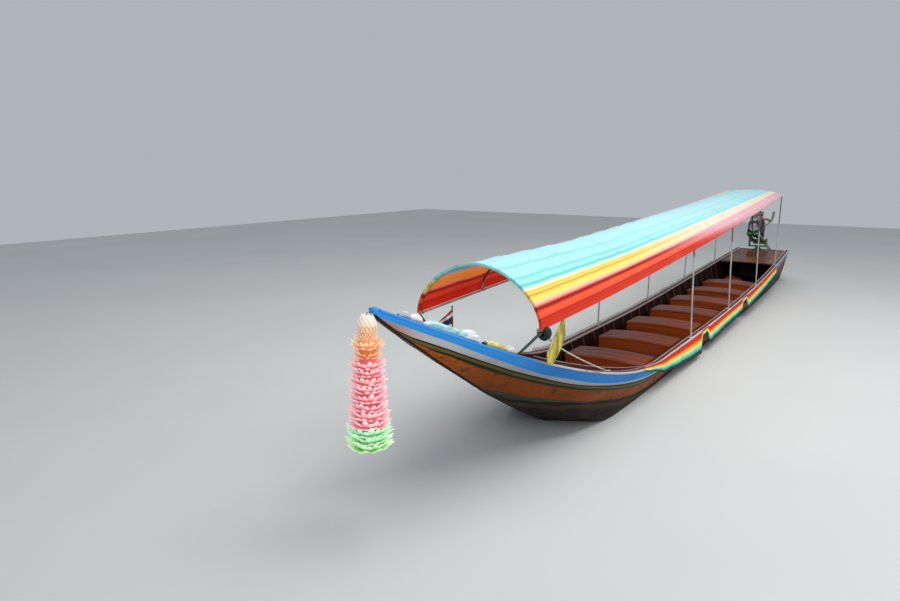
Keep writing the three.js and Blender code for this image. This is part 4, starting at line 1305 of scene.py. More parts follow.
# %% Side cloths
def make_side_cloth(side):
    rows, drops = spaced(HEM[0][0], HEM[-1][0], 447), spaced(0, 1, 14)
    rng = random.Random(5 + side)
    waves = [(rng.uniform(9, 34), rng.uniform(0, 6.3), rng.uniform(0.4, 1)) for _ in range(7)]
    points, uv, marks = [], [], []
    for s in rows:
        drop = from_table(HEM, s) + 0.004 * sin(s * 11)
        top = sheer_z(s) + 0.057 - 0.004 * abs(sin(s * pi / 0.45))
        ripple = sum(a * sin(f * s + p) for f, p, a in waves) / 4
        for t in drops:
            swing = 0.004 + drop * t / 16 + (0.0022 + 0.01 * t * drop / 0.3) * (ripple + 1) * 0.5
            bead = 0.0035 if t in (0, 1) else 0.0
            points.append(place(s, side * (half_beam(s) + 0.014 + swing - 0.004 + bead), top - drop * t))
            uv.append((s, drop * t))
            marks.append(t)
    name = "side_cloth_" + ("port" if side > 0 else "starboard")
    cloth = make_piece(name + "_sheet", points, grid_faces(len(rows), len(drops), turned=side < 0), "hull",
                       "side_cloth", side_cloth_finish, (name,), 60, {"down": marks}, uv)
    if sum(f.normal.y * f.area for f in cloth.data.polygons) * side < 0:
        cloth.data.flip_normals()
    cloth.data.materials.append(side_cloth_lining)
    thicken(cloth, 0.0014).material_offset = 1
    length = rows[-1] - rows[0]
    cloth_area(cloth) / length
    return cloth


side_cloths = [make_side_cloth(side) for side in (1, -1)]
print("side cloths:", [c.name for c in side_cloths])

# %% [markdown]
# ## Stamping one shape on many points
# Petals and nails repeat. One node tree puts a copy of a small shape on every point of a mesh. Each
# point says which way the copy's face looks ("out"), which way its length runs ("ahead") and how
# big it is. The result becomes a plain mesh, so that nothing is left to be worked out later.

# %% Stamping tree
UP, AHEAD = (0, 0, 1), (1, 0, 0)


def stamping_tree():
    tree = bpy.data.node_groups.new("stamp_on_points", "GeometryNodeTree")
    inputs = {}
    for name, kind in (("Geometry", "Geometry"), ("Stamp", "Object"), ("Least", "Float"),
                       ("Greatest", "Float"), ("Seed", "Int"), ("Material", "Material")):
        socket = tree.interface.new_socket(name, in_out="INPUT", socket_type="NodeSocket" + kind)
        inputs[name] = socket.identifier
    tree.interface.new_socket("Geometry", in_out="OUTPUT", socket_type="NodeSocketGeometry")

    def node(kind, settings, sockets):
        made = tree.nodes.new(kind)
        for key, value in settings.items():
            setattr(made, key, value)
        for key, value in sockets.items():
            if isinstance(value, str):
                made.inputs[key].default_value = value
            else:
                tree.links.new(value, made.inputs[key])
        return made.outputs

    def stored(name, kind):
        return node("GeometryNodeInputNamedAttribute", {"data_type": kind}, {"Name": name})[0]

    given = node("NodeGroupInput", {}, {})
    spots = node("GeometryNodeMeshToPoints", {"mode": "VERTICES"}, {"Mesh": given["Geometry"]})
    turn = node("FunctionNodeAxesToRotation", {"primary_axis": "Z", "secondary_axis": "X"},
                {0: stored("out", "FLOAT_VECTOR"), 1: stored("ahead", "FLOAT_VECTOR")})
    chance = node("FunctionNodeRandomValue", {"data_type": "FLOAT"},
                  {2: given["Least"], 3: given["Greatest"], 8: given["Seed"]})
    scale = node("ShaderNodeMath", {"operation": "MULTIPLY"}, {0: stored("size", "FLOAT"), 1: chance[1]})
    shape = node("GeometryNodeObjectInfo", {"transform_space": "ORIGINAL"}, {"Object": given["Stamp"]})
    copies = node("GeometryNodeInstanceOnPoints", {}, {
        "Points": spots["Points"], "Instance": shape["Geometry"], "Rotation": turn[0], "Scale": scale[0]})
    real = node("GeometryNodeRealizeInstances", {}, {"Geometry": copies["Instances"]})
    painted = node("GeometryNodeSetMaterial", {},
                   {"Geometry": real["Geometry"], "Material": given["Material"]})
    node("NodeGroupOutput", {}, {"Geometry": painted["Geometry"]})
    return tree, inputs


STAMP_TREE, STAMP_INPUTS = stamping_tree()
print("stamping inputs:", list(STAMP_INPUTS))

# %% Stamps
def stamp_shape(shapes, mark_name="part"):
    """A small shape that is only a pattern for copies."""
    mesh = bpy.data.meshes.new("stamp")
    mesh.from_pydata(shapes.points, [], shapes.faces)
    mesh.attributes.new(mark_name, "FLOAT", "POINT").data.foreach_set("value", shapes.marks)
    shade_mesh(mesh, 50)
    return new_object("stamp", mesh)


def stamp_on(name, spots, stamp, body, slot, finish, sizes, seed, stands_for=()):
    """Spots are lists of place, out, ahead, size and tint. The copies end up in one mesh."""
    mesh = bpy.data.meshes.new(name)
    mesh.from_pydata([tuple(s[0]) for s in spots], [], [])
    for k, key in ((1, "out"), (2, "ahead")):
        flat = [v for s in spots for v in Vector(s[k]).normalized()]
        mesh.attributes.new(key, "FLOAT_VECTOR", "POINT").data.foreach_set("vector", flat)
    for k, key in ((3, "size"), (4, "tint")):
        mesh.attributes.new(key, "FLOAT", "POINT").data.foreach_set("value", [s[k] for s in spots])
    piece = new_object(name, mesh)
    nodes = piece.modifiers.new("stamps", "NODES")
    nodes.node_group = STAMP_TREE
    given = {"Stamp": stamp, "Least": sizes[0], "Greatest": sizes[1], "Seed": seed, "Material": finish}
    for key, value in given.items():
        nodes[STAMP_INPUTS[key]] = value
    worked_out = piece.evaluated_get(bpy.context.evaluated_depsgraph_get())
    solid = bpy.data.meshes.new_from_object(worked_out)
    piece.modifiers.remove(nodes)
    piece.data = solid
    shade_mesh(solid, 50)
    return settle(piece, body, slot, stands_for)


print("nodes in the stamping tree:", len(STAMP_TREE.nodes))

# %% [markdown]
# ## Garland
# The garland hangs from the bow in tiers: a white and orange ball, an orange tier with points,
# eight pink tiers and three green ones. Each tier is two staggered rings of petals that turn up at
# their pale tips. One petal is modelled, and the tree above sets it round the core.

# %% Petal
def petal_shape():
    petal, rings, marks = Shapes(), [], []
    for u in (0.0, 0.18, 0.4, 0.6, 0.78, 0.9, 1.0):
        half = 0.27 * (0.55 + 1.1 * u) * (1 - u ** 2.2) ** 0.8 + 0.012
        lift = 0.46 * u ** 2.2
        top = [(u, half * v, lift + 0.3 * half * v * v) for v in (-1, -0.55, 0, 0.55, 1)]
        under = [(x + 0.006, y, z - 0.022) for x, y, z in reversed(top)]
        rings.append(top + under)
        marks += [u] * len(rings[-1])
    return stamp_shape(petal.loft(rings, marks), "tip")


def petal_paint():
    """Petals are deep at the root and pale at the tip. The tint says which tier they belong to. They also
    glow faintly in their own colour, as painted light.
    """
    # Emission in the petal colour: painted light, a faint glow.
    finish = Finish("petals", {"Sheen Weight": 0.3, "Emission Strength": 0.17})
    tint, tip = finish.kept("tint"), finish.kept("tip")
    root = finish.ramp(tint, stops(
        (0.0, 246, 150, 78), (0.08, 248, 166, 104), (0.14, 250, 214, 176), (0.3, 246, 150, 156),
        (0.55, 244, 146, 166), (0.8, 166, 230, 184), (1.0, 160, 220, 140)))
    pale = finish.ramp(tint, stops(
        (0.0, 255, 226, 176), (0.08, 255, 240, 214), (0.14, 255, 254, 250), (0.3, 255, 226, 220),
        (0.5, 255, 238, 240), (0.8, 226, 255, 236), (1.0, 244, 255, 228)))
    dirt = finish.noise(40, 3).above(0.62, 0.1)
    dye = finish.layers(root, (pale, (tip * 1.7 - 0.35) * finish.noise(14, 2).above(0.3, 0.3)),
                        ((120, 92, 76), dirt * 0.12))
    return finish.wear(dye, 0.65 + dirt * 0.1, finish.bump(finish.noise(160, 3), 0.2, 0.001),
                       {"Emission Color": dye})


petal, petal_finish = petal_shape(), petal_paint()
print("points of one petal:", len(petal.data.vertices))

# %% [markdown]
# ## The tiers
# Real petals never sit quite evenly, so each one is turned and tilted a little by chance. The draws
# come from a generator with a fixed seed, because the garland has to be the same at every build.

# %% Garland
GARLAND_X = 7.569
PETAL_PITCH = 0.058
# Height and radius of each rim, and its tint: 0 is orange, about 0.45 pink and 1 green.
TIERS = [
    (1.505, 0.136, 0.05), (1.43, 0.11, 0.0), (1.361, 0.145, 0.4), (1.305, 0.135, 0.45),
    (1.243, 0.15, 0.4), (1.185, 0.147, 0.5), (1.118, 0.158, 0.42), (1.05, 0.157, 0.5),
    (0.99, 0.168, 0.42), (0.925, 0.17, 0.5), (0.868, 0.18, 0.86), (0.812, 0.178, 0.9),
    (0.757, 0.18, 1.0),
]
# The lower and the upper ring of a tier: where the petals start, their tilt and their length.
RINGS = ((0.46, 0.02, 1.0), (0.4, 0.3, 0.92))


def leaning(away, tilt):
    """Which way a petal runs and which way it looks, when it is tilted up from the level."""
    up = Vector(UP)
    return away * cos(tilt) + up * sin(tilt), up * cos(tilt) - away * sin(tilt)


def tier_spots():
    rng, spots = random.Random(3), []
    for k, (rim_z, rim, tint) in enumerate(TIERS):
        for ring, (start, tilt, share) in enumerate(RINGS):
            length = (rim - rim * start) * share
            middle = Vector((GARLAND_X, 0, rim_z - 0.36 * length - 0.004 + 0.012 * ring))
            for a in turns(round(2 * pi * rim / PETAL_PITCH), 0.5 * ring + 0.31 * k):
                away = heading(a + rng.uniform(-0.06, 0.06))
                ahead, out = leaning(away, tilt + rng.uniform(-0.12, 0.12))
                spots.append((middle + away * (rim * start), out, ahead, length, tint))
    return spots


def ball_spots():
    spots = []
    for row in range(-3, 7):
        upper = max(row, 0)
        middle = Vector((GARLAND_X, 0, 1.58 + 0.018 * row))
        radius = 0.03 + 0.034 * sin(pi * (0.22 + 0.62 * upper / 6))
        for away in map(heading, turns(15 - upper, 0.5 * (row % 2))):
            ahead, out = leaning(away, 0.75 + 0.12 * max(row, -1))
            spots.append((middle + away * radius, out, ahead, 0.036, 0.14 if row > 2 else 0.05))
    return spots


garland = stamp_on("garland_petals", tier_spots() + ball_spots(), petal, "hull", "flowers", petal_finish,
                   (0.86, 1.06), 4, ("bow_garland",))
bpy.data.objects.remove(petal)
print("garland:", len(garland.data.polygons), "faces")

# %% [markdown]
# ## What the petals are tied to
# Between the petals one sees the core, a bound stem that swells under each tier. It is turned on the
# lathe in one piece. A wire hook from a small plate on the stem carries all of it.

# %% Garland core and its hook
def core_paint():
    finish = Finish("garland_core", {"Sheen Weight": 0.2})
    dye = finish.ramp((finish.axis(2) - 0.7) / 1.05, stops(
        (0.0, 130, 190, 120), (0.16, 140, 204, 154), (0.2, 238, 130, 146), (0.66, 242, 134, 140),
        (0.72, 248, 150, 74), (0.9, 252, 214, 176), (0.98, 250, 246, 236)))
    return finish.wear(dye, 0.8 + finish.noise(30, 3) * 0.1,
                       finish.bump(finish.noise(60, 4), 0.6, 0.006))


def make_core():
    profile = [(0.004, 0.712)]
    for rim_z, rim, _ in reversed(TIERS):
        profile += [(rim * 0.5, rim_z - 0.04), (rim * 0.46, rim_z - 0.006)]
    profile += [(0.05, 1.545), (0.044, 1.585), (0.06, 1.61), (0.066, 1.64), (0.056, 1.68), (0.032, 1.704),
                (0.004, 1.71)]
    core = Shapes().turned(profile, (GARLAND_X, 0, 0), UP, 28)
    return core.finish("garland_core", "hull", "flowers", core_paint(), (), 60)


def make_hook():
    hook = Shapes()
    wire = [(7.492, 0, 1.722), (7.53, 0, 1.728), (7.562, 0, 1.728), (7.574, 0, 1.72), (7.569, 0, 1.706),
            (7.56, 0, 1.7)]
    hook.tube(smooth_path(wire, 0.004)[0], 0.003, 10)
    plate = [(0, 0), (0.014, 0), (0.014, 0.004), (0.006, 0.007), (0, 0.007)]
    hook.turned(plate, (7.487, 0, 1.722), AHEAD, 16)
    return hook.finish("garland_hook", "hull", "dark_steel", dark_steel)


garland_core, hook = make_core(), make_hook()
print("garland core:", len(garland_core.data.polygons), "faces")

# %% [markdown]
# ## Bow dressing
# White, pink and pale yellow cloths are rolled and tied along the port gunwale. Each roll is one
# sheet wound a little more than once round, with pleats that gather at the ties.

# %% Bow cloth paint
def rolled_paint(name, colours, folds_tone):
    """Colours are stops along the boat: a station and the colour of the cloth that starts there."""
    finish = Finish(name, {"Sheen Weight": 0.25})
    edge = BOW_X - finish.axis(0) + finish.noise(14, 2) * 0.04
    (_, first), *others = stops(*colours)
    folds = finish.noise(1, 3, (5, 44, 44)).above(0.56, 0.12)
    soil = finish.noise(22, 4).above(0.58, 0.2)
    # Lengthwise streaks take a darker tone of their own: painted shade in the folds.
    dye = finish.layers(first, *[(colour, edge.above(start, 0.015)) for start, colour in others],
                        (folds_tone, folds * 0.55), ((132, 122, 108), soil * 0.15))
    return finish.wear(dye, 0.85 + soil * 0.1,
                       finish.bump(finish.noise(1, 4, (24, 60, 60)), 0.35, 0.004))


white_roll = rolled_paint("white_roll", ((0, 226, 240, 238), (0.47, 186, 232, 230), (0.8, 246, 250, 250)),
                          tone(84, 150, 152))
knot_roll = rolled_paint("knot_roll", ((0, 196, 202, 206), (0.3, 248, 238, 238)), tone(226, 150, 160))
yellow_roll = rolled_paint("yellow_roll", ((0, 60, 62, 34), (1.045, 238, 228, 150), (1.27, 250, 246, 242)),
                           tone(176, 162, 84))
print("roll finishes:", [m.name for m in (white_roll, knot_roll, yellow_roll)])

# %% Bow cloths
def make_roll(name, first, last, radii, finish, slot, stands_for, seed):
    """Radii at even steps along the roll, as the CAD solid has them."""
    rng = random.Random(seed)
    steps, girth = max(24, int((last - first) / 0.012)), 64
    pleats = [(rng.randint(4, 15), rng.uniform(0, 6.28), rng.uniform(-9, 9)) for _ in range(6)]
    points, marks = [], []
    for t in spaced(0, 1, steps):
        s = first + (last - first) * t
        base = float(np.interp(t, np.linspace(0, 1, len(radii)), radii))
        for turn in spaced(0, 1, girth):
            a = 2 * pi * turn * 1.12 + 0.6
            fold = sum(sin(n * a + p + d * s) for n, p, d in pleats) / 6
            r = base * (0.84 + 0.15 * fold - 0.1 * (turn > 0.9) * (turn - 0.9) / 0.1)
            z = board_top(s) + 0.0005 + 0.75 * base * (1 + 0.96 * r / base * sin(a) / 0.9)
            points.append(place(s, half_beam(s) - 0.04 + r * cos(a), max(z, board_top(s) + 0.0006)))
            marks.append(turn)
    piece = make_piece(name, points, grid_faces(steps + 1, girth + 1), "hull", slot, finish, stands_for, 70,
                       {"down": marks})
    length, area = last - first, cloth_area(piece)
    thicken(piece, 0.0012)
    area / length * 1.02
    length * 1.05
    return piece


rolls = [
    make_roll("bow_knot_cloth", 0.195, 0.402, (0.012, 0.038, 0.042, 0.026, 0.044, 0.046, 0.016),
              knot_roll, "pale_cloth", ("bow_knot",), 1),
    make_roll("bow_white_cloth", 0.409, 0.962,
              (0.014, 0.04, 0.046, 0.042, 0.046, 0.038, 0.06, 0.062, 0.02),
              white_roll, "pale_cloth", ("bow_cloth_pale",), 2),
    make_roll("bow_yellow_cloth", 1.0, 1.385, (0.016, 0.034, 0.042, 0.04, 0.03, 0.048, 0.02),
              yellow_roll, "yellow_cloth", ("bow_cloth_yellow",), 3),
]
print("rolls:", [r.name for r in rolls])

# %% [markdown]
# ## Flag and scarf
# A small striped flag stands on the foredeck, and a yellow scarf is knotted to the front of the
# port rail. Both hang still, so their folds are drawn as sums of sines rather than simulated.

# %% Cloth that hangs
def flat_bands(*rows):
    """Stops for bands of one colour each: a row is where a band starts and ends, and its colour."""
    return [(at, tone(*seen)) for low, high, *seen in rows for at in (low, high)]


def hang_sheet(name, rows, slot, finish, stands_for):
    """A sheet from rows of points, from its tied edge down."""
    points = [p for row in rows for p in row]
    marks = [i / (len(rows) - 1) for i, row in enumerate(rows) for _ in row]
    piece = make_piece(name, points, grid_faces(len(rows), len(rows[0])), "hull", slot, finish,
                       stands_for, 70, {"down": marks})
    area = cloth_area(piece)
    long = sum((Vector(b[0]) - Vector(a[0])).length for a, b in zip(rows, rows[1:]))
    thicken(piece, 0.0012)
    area / long * 1.02
    return piece


print("two bands make", len(flat_bands((0, 0.5, 0, 0, 0), (0.5, 1, 9, 9, 9))), "stops")

# %% Flag
FLAG_STATION, FLAG_HIGH, FLAG_LEAN = 1.03, 0.31, 0.012


def flag_paint():
    finish = Finish("flag_cloth", {"Sheen Weight": 0.2})
    dye = finish.ramp(finish.kept("down"), flat_bands(
        (0.0, 0.165, 196, 44, 52), (0.17, 0.33, 238, 236, 236), (0.335, 0.665, 40, 44, 96),
        (0.67, 0.83, 238, 236, 236), (0.835, 1.0, 196, 44, 52)))
    return finish.wear(dye, 0.8 + finish.noise(30, 3) * 0.1,
                       finish.bump(finish.noise(1, 3, (30, 30, 12)), 0.3, 0.004))


def make_flag():
    x, foot = BOW_X - FLAG_STATION, deck_z(FLAG_STATION, 0) + 0.0035
    top, staff = foot + FLAG_HIGH, Shapes()
    staff.tube([(x + FLAG_LEAN * t, 0, foot + FLAG_HIGH * t) for t in spaced(0, 1, 4)], 0.006, 14)
    knob = [(0, 0), (0.009, 0), (0.01, 0.004), (0.006, 0.012), (0, 0.014)]
    staff.turned(knob, (x + FLAG_LEAN, 0, top - 0.002), UP, 14)
    socket = [(0, 0), (0.018, 0), (0.017, 0.006), (0.009, 0.014), (0, 0.014)]
    staff.turned(socket, (x, 0, foot - 0.002), UP, 16)
    staff.finish("flag_staff", "hull", "flag_cloth", stock_varnish, ("bow_flag",))
    rows = []
    for t in spaced(0, 1, 18):
        row = []
        for u in spaced(0, 1, 24):
            high, low = top - 0.008 - 0.15 * u ** 0.9, top - 0.208 + 0.02 * u
            sway = 0.013 * sin(u * 7 + t * 2.2) * u + 0.005 * sin(u * 19 + t * 5)
            reach = 0.15 * u - 0.002 - 0.006 * t
            row.append((x + FLAG_LEAN + 0.559 * reach + 0.829 * sway, -0.829 * reach + 0.559 * sway,
                        high + (low - high) * t))
        rows.append(row)
    return hang_sheet("bow_flag_sheet", rows, "flag_cloth", flag_paint(), ())


flag = make_flag()
print("flag:", flag.name)

# %% Scarf
SCARF_STATION, SCARF_DROP = 1.745, 0.34
# How far down, half the width there and how far that row is pushed out.
SCARF = [(0, 0.022, 0.0), (0.08, 0.09, 0.008), (0.17, 0.15, 0.016), (0.26, 0.15, 0.01),
         (0.34, 0.096, 0.018)]


def scarf_paint():
    finish = Finish("scarf_cloth", {"Sheen Weight": 0.3})
    folds = finish.noise(1, 3, (16, 40, 4))
    # The folds are a darker yellow: painted shade in the folds.
    dye = finish.mix((206, 190, 66), (132, 118, 34), folds.above(0.5, 0.25))
    return finish.wear(dye, 0.75 + folds * 0.15, finish.bump(folds, 0.5, 0.006))


def make_scarf():
    x, y, _ = rail_point(SCARF_STATION, 1)
    top, rows = rail_z(SCARF_STATION) - 0.025, []
    for drop in spaced(0, SCARF_DROP, 24):
        half, sway = from_table(SCARF, drop), from_table(SCARF, drop, 2)
        row = []
        for u in spaced(-1, 1, 40):
            pleat = 0.006 * sin(u * 14 + drop * 6) * (0.4 + drop * 2)
            low = 0.03 * drop / SCARF_DROP * cos(u * 2.2)
            slant = -0.14 + 0.25 * drop / SCARF_DROP
            row.append((x + slant + u * half, y + 0.001 + sway + pleat, top - drop - low + 0.012))
        rows.append(row)
    return hang_sheet("scarf_sheet", rows, "yellow_cloth", scarf_paint(), ("yellow_scarf",))


scarf = make_scarf()
print("scarf:", scarf.name)

# %% [markdown]
# ## Engine and its long tail
# A small car engine swings on a post at the stern. It is built in its own frame, with x towards the
# tiller and z up from the tilt pin, and is then turned and carried to its place. Each point keeps a
# number for what it is made of: 0 cast iron, 1 light alloy, 2 rubber, 3 bright steel.

# %% Engine finishes
POST_X = -6.95
DRIVE = Matrix.Translation((POST_X, 0, 0.98)) @ Matrix.Rotation(radians(-17), 4, "Y")
SHAFT_Z = 0.13
ALLOY, RUBBER, STEEL = 1, 2, 3


def machine_paint():
    finish = Finish("engine_iron", {"Coat Roughness": 0.3})
    part = finish.kept("part")
    oil = finish.noise(7, 5).above(0.54, 0.2)
    rust = finish.noise(24, 5).above(0.6, 0.1)
    metals = finish.ramp(part / 4, flat_bands((0.0, 0.2, 56, 70, 74), (0.21, 0.45, 150, 152, 150),
                                              (0.46, 0.7, 26, 26, 27), (0.71, 1.0, 176, 178, 180)))
    colour = finish.layers(metals, ((28, 24, 20), oil * 0.55), ((112, 62, 34), rust * 0.5))
    metal = part.above(0.5, 0.2) * (1 - part.above(1.5, 0.2)) + part.above(2.5, 0.2)
    return finish.wear(colour, 0.55 - oil * 0.2 + rust * 0.25,
                       finish.bump(finish.noise(120, 4), 0.3, 0.0015),
                       {"Metallic": metal * (1 - rust) * 0.7})


def worn_paint(name, light, dark, rust_share, metal=0.0):
    """Painted steel that has chipped and rusted at a few places."""
    finish = Finish(name, {"Coat Roughness": 0.25})
    fade = finish.noise(4, 4).above(0.5, 0.4)
    chips = finish.noise(19, 6).above(0.6 - 0.04 * rust_share, 0.05)
    streaks = finish.noise(1, 4, (26, 26, 3)).above(0.58, 0.2)
    colour = finish.layers(tone(*light), (tone(*dark), fade * 0.7),
                           ((126, 68, 36), chips * 0.85 * rust_share),
                           ((96, 60, 40), streaks * 0.4 * rust_share))
    return finish.wear(colour, 0.36 + fade * 0.15 + chips * 0.35,
                       finish.bump(chips + finish.noise(70, 3) * 0.2, -0.25, 0.001),
                       {"Metallic": metal - chips * metal, "Coat Weight": 0.3 - chips * 0.3})


engine_iron = machine_paint()
green_paint = worn_paint("green_paint", (54, 132, 72), (34, 92, 54), 0.8)
tube_blue = worn_paint("tube_blue", (112, 138, 152), (80, 104, 120), 0.7)
filter_grey = worn_paint("filter_grey", (132, 138, 142), (96, 100, 104), 0.5, 0.2)
rusty_pipe = worn_paint("rusty_pipe", (150, 128, 112), (96, 66, 48), 1.0, 0.5)
brass_finish = worn_paint("worn_brass", (204, 168, 92), (150, 112, 52), 0.25, 0.85)
print("machine finishes:", [m.name for m in (engine_iron, green_paint, tube_blue, filter_grey, rusty_pipe)])

# %% [markdown]
# ## Engine block
# The block is a stack of castings: sump, crankcase with stiffening ribs, head and rocker cover. At
# its front a belt runs round two pulleys, and manifold, starter and plug leads sit on its sides.
# All of it is boxes, turned parts and tubes, because that is how such parts are made.

# %% Wheels and belt
# Height and radius of the two wheels that the belt runs on.
LOW_WHEEL, HIGH_WHEEL = (0.15, 0.082), (0.375, 0.05)


def belt_rings(x, thick, half_width):
    """A belt round both pulleys: at each angle the wheel that reaches further carries it."""
    rings = []
    for a in turns(72):
        out = Vector((0, cos(a), sin(a)))
        z, r = max((LOW_WHEEL, HIGH_WHEEL), key=lambda wheel: wheel[0] * out.z + wheel[1])
        foot, wide = Vector((x, 0, z)) + out * r, Vector((half_width, 0, 0))
        tip = foot + out * thick
        rings.append([foot - wide * 0.7, tip - wide, tip + wide, foot + wide * 0.7])
    return rings


def pulley(radius, depth, groove):
    return [(0, 0), (radius, 0), (radius, depth * 0.15), (groove, depth * 0.4), (groove, depth * 0.6),
            (radius, depth * 0.85), (radius, depth), (radius * 0.55, depth * 0.92),
            (radius * 0.3, depth * 0.92), (radius * 0.28, depth * 1.05), (0, depth * 1.05)]


print("points of a pulley:", len(pulley(0.1, 0.04, 0.08)))

# %% Castings
def cast_parts(block):
    """Sump, crankcase, head and cover, from the bottom up."""
    def slab(x_low, x_high, half, z_low, z_high, edge, mark=0.0):
        block.box((x_low, -half, z_low), (x_high, half, z_high), edge, mark)

    slab(0.14, 0.712, 0.128, 0.105, 0.323, 0.014)
    slab(0.17, 0.69, 0.1, 0.0305, 0.104, 0.022)
    slab(0.15, 0.705, 0.15, 0.098, 0.107, 0.002)
    for x in spaced(0.185, 0.665, 8):
        slab(x - 0.005, x + 0.005, 0.146, 0.106, 0.312, 0.003)
    for z in (0.165, 0.255):
        slab(0.15, 0.7, 0.138, z - 0.004, z + 0.004, 0.002)
    slab(0.148, 0.702, 0.112, 0.3225, 0.3275, 0.001, STEEL)
    slab(0.15, 0.7, 0.108, 0.327, 0.452, 0.012, ALLOY)
    for x in spaced(0.2, 0.65, 4):
        slab(x - 0.02, x + 0.02, 0.114, 0.335, 0.372, 0.008, ALLOY)
    slab(0.166, 0.684, 0.086, 0.451, 0.46, 0.002, ALLOY)
    slab(0.172, 0.678, 0.078, 0.459, 0.528, 0.02, ALLOY)
    for y in (-0.045, 0.0, 0.045):
        for x_low, x_high in ((0.215, 0.3), (0.54, 0.64)):
            block.box((x_low, y - 0.006, 0.526), (x_high, y + 0.006, 0.5305), 0.002, ALLOY)


block = Shapes()
cast_parts(block)
print("castings:", len(block.faces), "faces")

# %% Fitted parts
def fitted_parts(block):
    """Oil cap, core plugs and mounts, pulleys and belt, manifold, starter, carburettor and leads."""
    cap = [(0, 0), (0.024, 0), (0.026, 0.004), (0.024, 0.016), (0, 0.017)]
    block.turned(cap, (0.197, 0.03, 0.526), UP, 20, RUBBER)
    for side in (1, -1):
        for x in (0.245, 0.425, 0.605):
            block.turned([(0, 0), (0.021, 0), (0.02, 0.005), (0.016, 0.003), (0, 0.003)],
                         (x, side * 0.1275, 0.21), (0, side, 0), 20, STEEL)
        for x in (0.22, 0.62):
            block.box((x - 0.035, side * 0.132 - 0.018, 0.0305), (x + 0.035, side * 0.132 + 0.018, 0.1),
                      0.004, RUBBER)
    block.turned(pulley(0.095, 0.04, 0.08), (0.716, 0, LOW_WHEEL[0]), AHEAD, 40, STEEL)
    block.turned(pulley(0.06, 0.04, 0.048), (0.716, 0, HIGH_WHEEL[0]), AHEAD, 32, STEEL)
    block.loop(belt_rings(0.736, 0.009, 0.007), RUBBER)
    for x in spaced(0.23, 0.53, 3):
        bend = [(x, 0.1, 0.405), (x, 0.122, 0.405), (x + 0.012, 0.132, 0.388), (x + 0.02, 0.134, 0.366)]
        block.tube(bend, 0.015, 12)
    block.tube([(0.225, 0.134, 0.362), (0.4, 0.134, 0.362), (0.53, 0.134, 0.366), (0.556, 0.13, 0.385)],
               0.018)
    block.box((0.235, -0.147, 0.352), (0.545, -0.108, 0.392), 0.012, ALLOY)
    block.turned([(0, 0), (0.034, 0), (0.036, 0.01), (0.036, 0.06), (0.028, 0.07), (0, 0.072)],
                 (0.42, -0.128, 0.39), UP, 24, ALLOY)
    block.tube([(0.42, -0.128, 0.455), (0.42, -0.118, 0.49), (0.42, -0.08, 0.53), (0.42, -0.04, 0.536)],
               0.02, mark=ALLOY)
    for x in spaced(0.235, 0.615, 3):
        block.turned([(0, 0), (0.01, 0), (0.01, 0.012), (0.006, 0.014), (0.006, 0.034), (0, 0.035)],
                     (x, 0.097, 0.44), (0, 0.45, 0.9), 12, RUBBER)
        lead = [(x, 0.113, 0.47), (x, 0.108, 0.495), (x * 0.8 + 0.08, 0.086, 0.516), (0.42, 0.081, 0.522)]
        block.tube(smooth_path(lead, 0.008)[0], 0.0035, 8, RUBBER)


fitted_parts(block)
engine = block.moved(DRIVE).finish("engine", "drive", "engine_metal", engine_iron, ("engine_block",), 40)
print("engine:", len(engine.data.polygons), "faces")

# %% [markdown]
# ## What is bolted to the engine
# A round air filter sits on top, the exhaust climbs away from one side, and the clutch housing
# narrows down to the tail tube. Each is its own piece, because each has its own finish.

# %% Air filter
def make_filter():
    can = Shapes()
    can.turned([(0, 0), (0.11, 0), (0.119, 0.004), (0.12, 0.012), (0.114, 0.016), (0.112, 0.02),
                (0.112, 0.05), (0.115, 0.054), (0.12, 0.057), (0.12, 0.066), (0.112, 0.073),
                (0.07, 0.076), (0.066, 0.072),
                (0.02, 0.072), (0, 0.072)], (0.42, 0, 0.5308), UP, 48)
    for away in map(heading, turns(24)):
        can.tube([Vector((0.42, 0, z)) + away * 0.1125 for z in (0.551, 0.581)], 0.003, 6)
    can.turned([(0, 0), (0.006, 0), (0.006, 0.006), (0, 0.007)], (0.42, 0, 0.6026), UP, 12)
    can.box((0.4, -0.002, 0.604), (0.44, 0.002, 0.6095), 0.001)
    return can.moved(DRIVE).finish("air_cleaner", "drive", "grey_steel", filter_grey, ("air_filter",), 40)


air_cleaner = make_filter()
print("air filter:", len(air_cleaner.data.polygons), "faces")

# %% Exhaust
EXHAUST_ROUTE = [(0.56, 0.1106, 0.4), (0.56, 0.126, 0.4), (0.548, 0.17, 0.402), (0.5, 0.212, 0.412),
                 (0.38, 0.232, 0.43), (0.16, 0.238, 0.45), (-0.06, 0.238, 0.56),
                 (-0.18, 0.238, 0.76)]


def make_exhaust():
    pipe = Shapes()
    route = smooth_path(EXHAUST_ROUTE, 0.01)[0]
    pipe.tube(route, 0.0268, 24, mouth=0.05)
    pipe.turned([(0, 0), (0.042, 0), (0.042, 0.008), (0, 0.008)], (0.56, 0.1108, 0.4), (0, 1, 0), 24)
    clamp = [(0.02, -0.008), (0.0285, -0.008), (0.03, -0.006), (0.03, 0.006), (0.0285, 0.008),
             (0.02, 0.008)]
    for share in (0.3, 0.62, 0.9):
        i = int(share * (len(route) - 2))
        pipe.turned(clamp, route[i], route[i + 1] - route[i], 28)
    for x in (0.1, 0.16):
        pipe.tube([(x, 0.235, 0.44), (x, 0.19, 0.4), (x, 0.128, 0.33)], 0.006, 8)
    return pipe.moved(DRIVE).finish("exhaust_line", "drive", "exhaust", rusty_pipe, ("exhaust_pipe",), 40)


exhaust = make_exhaust()
print("exhaust:", len(exhaust.data.polygons), "faces")

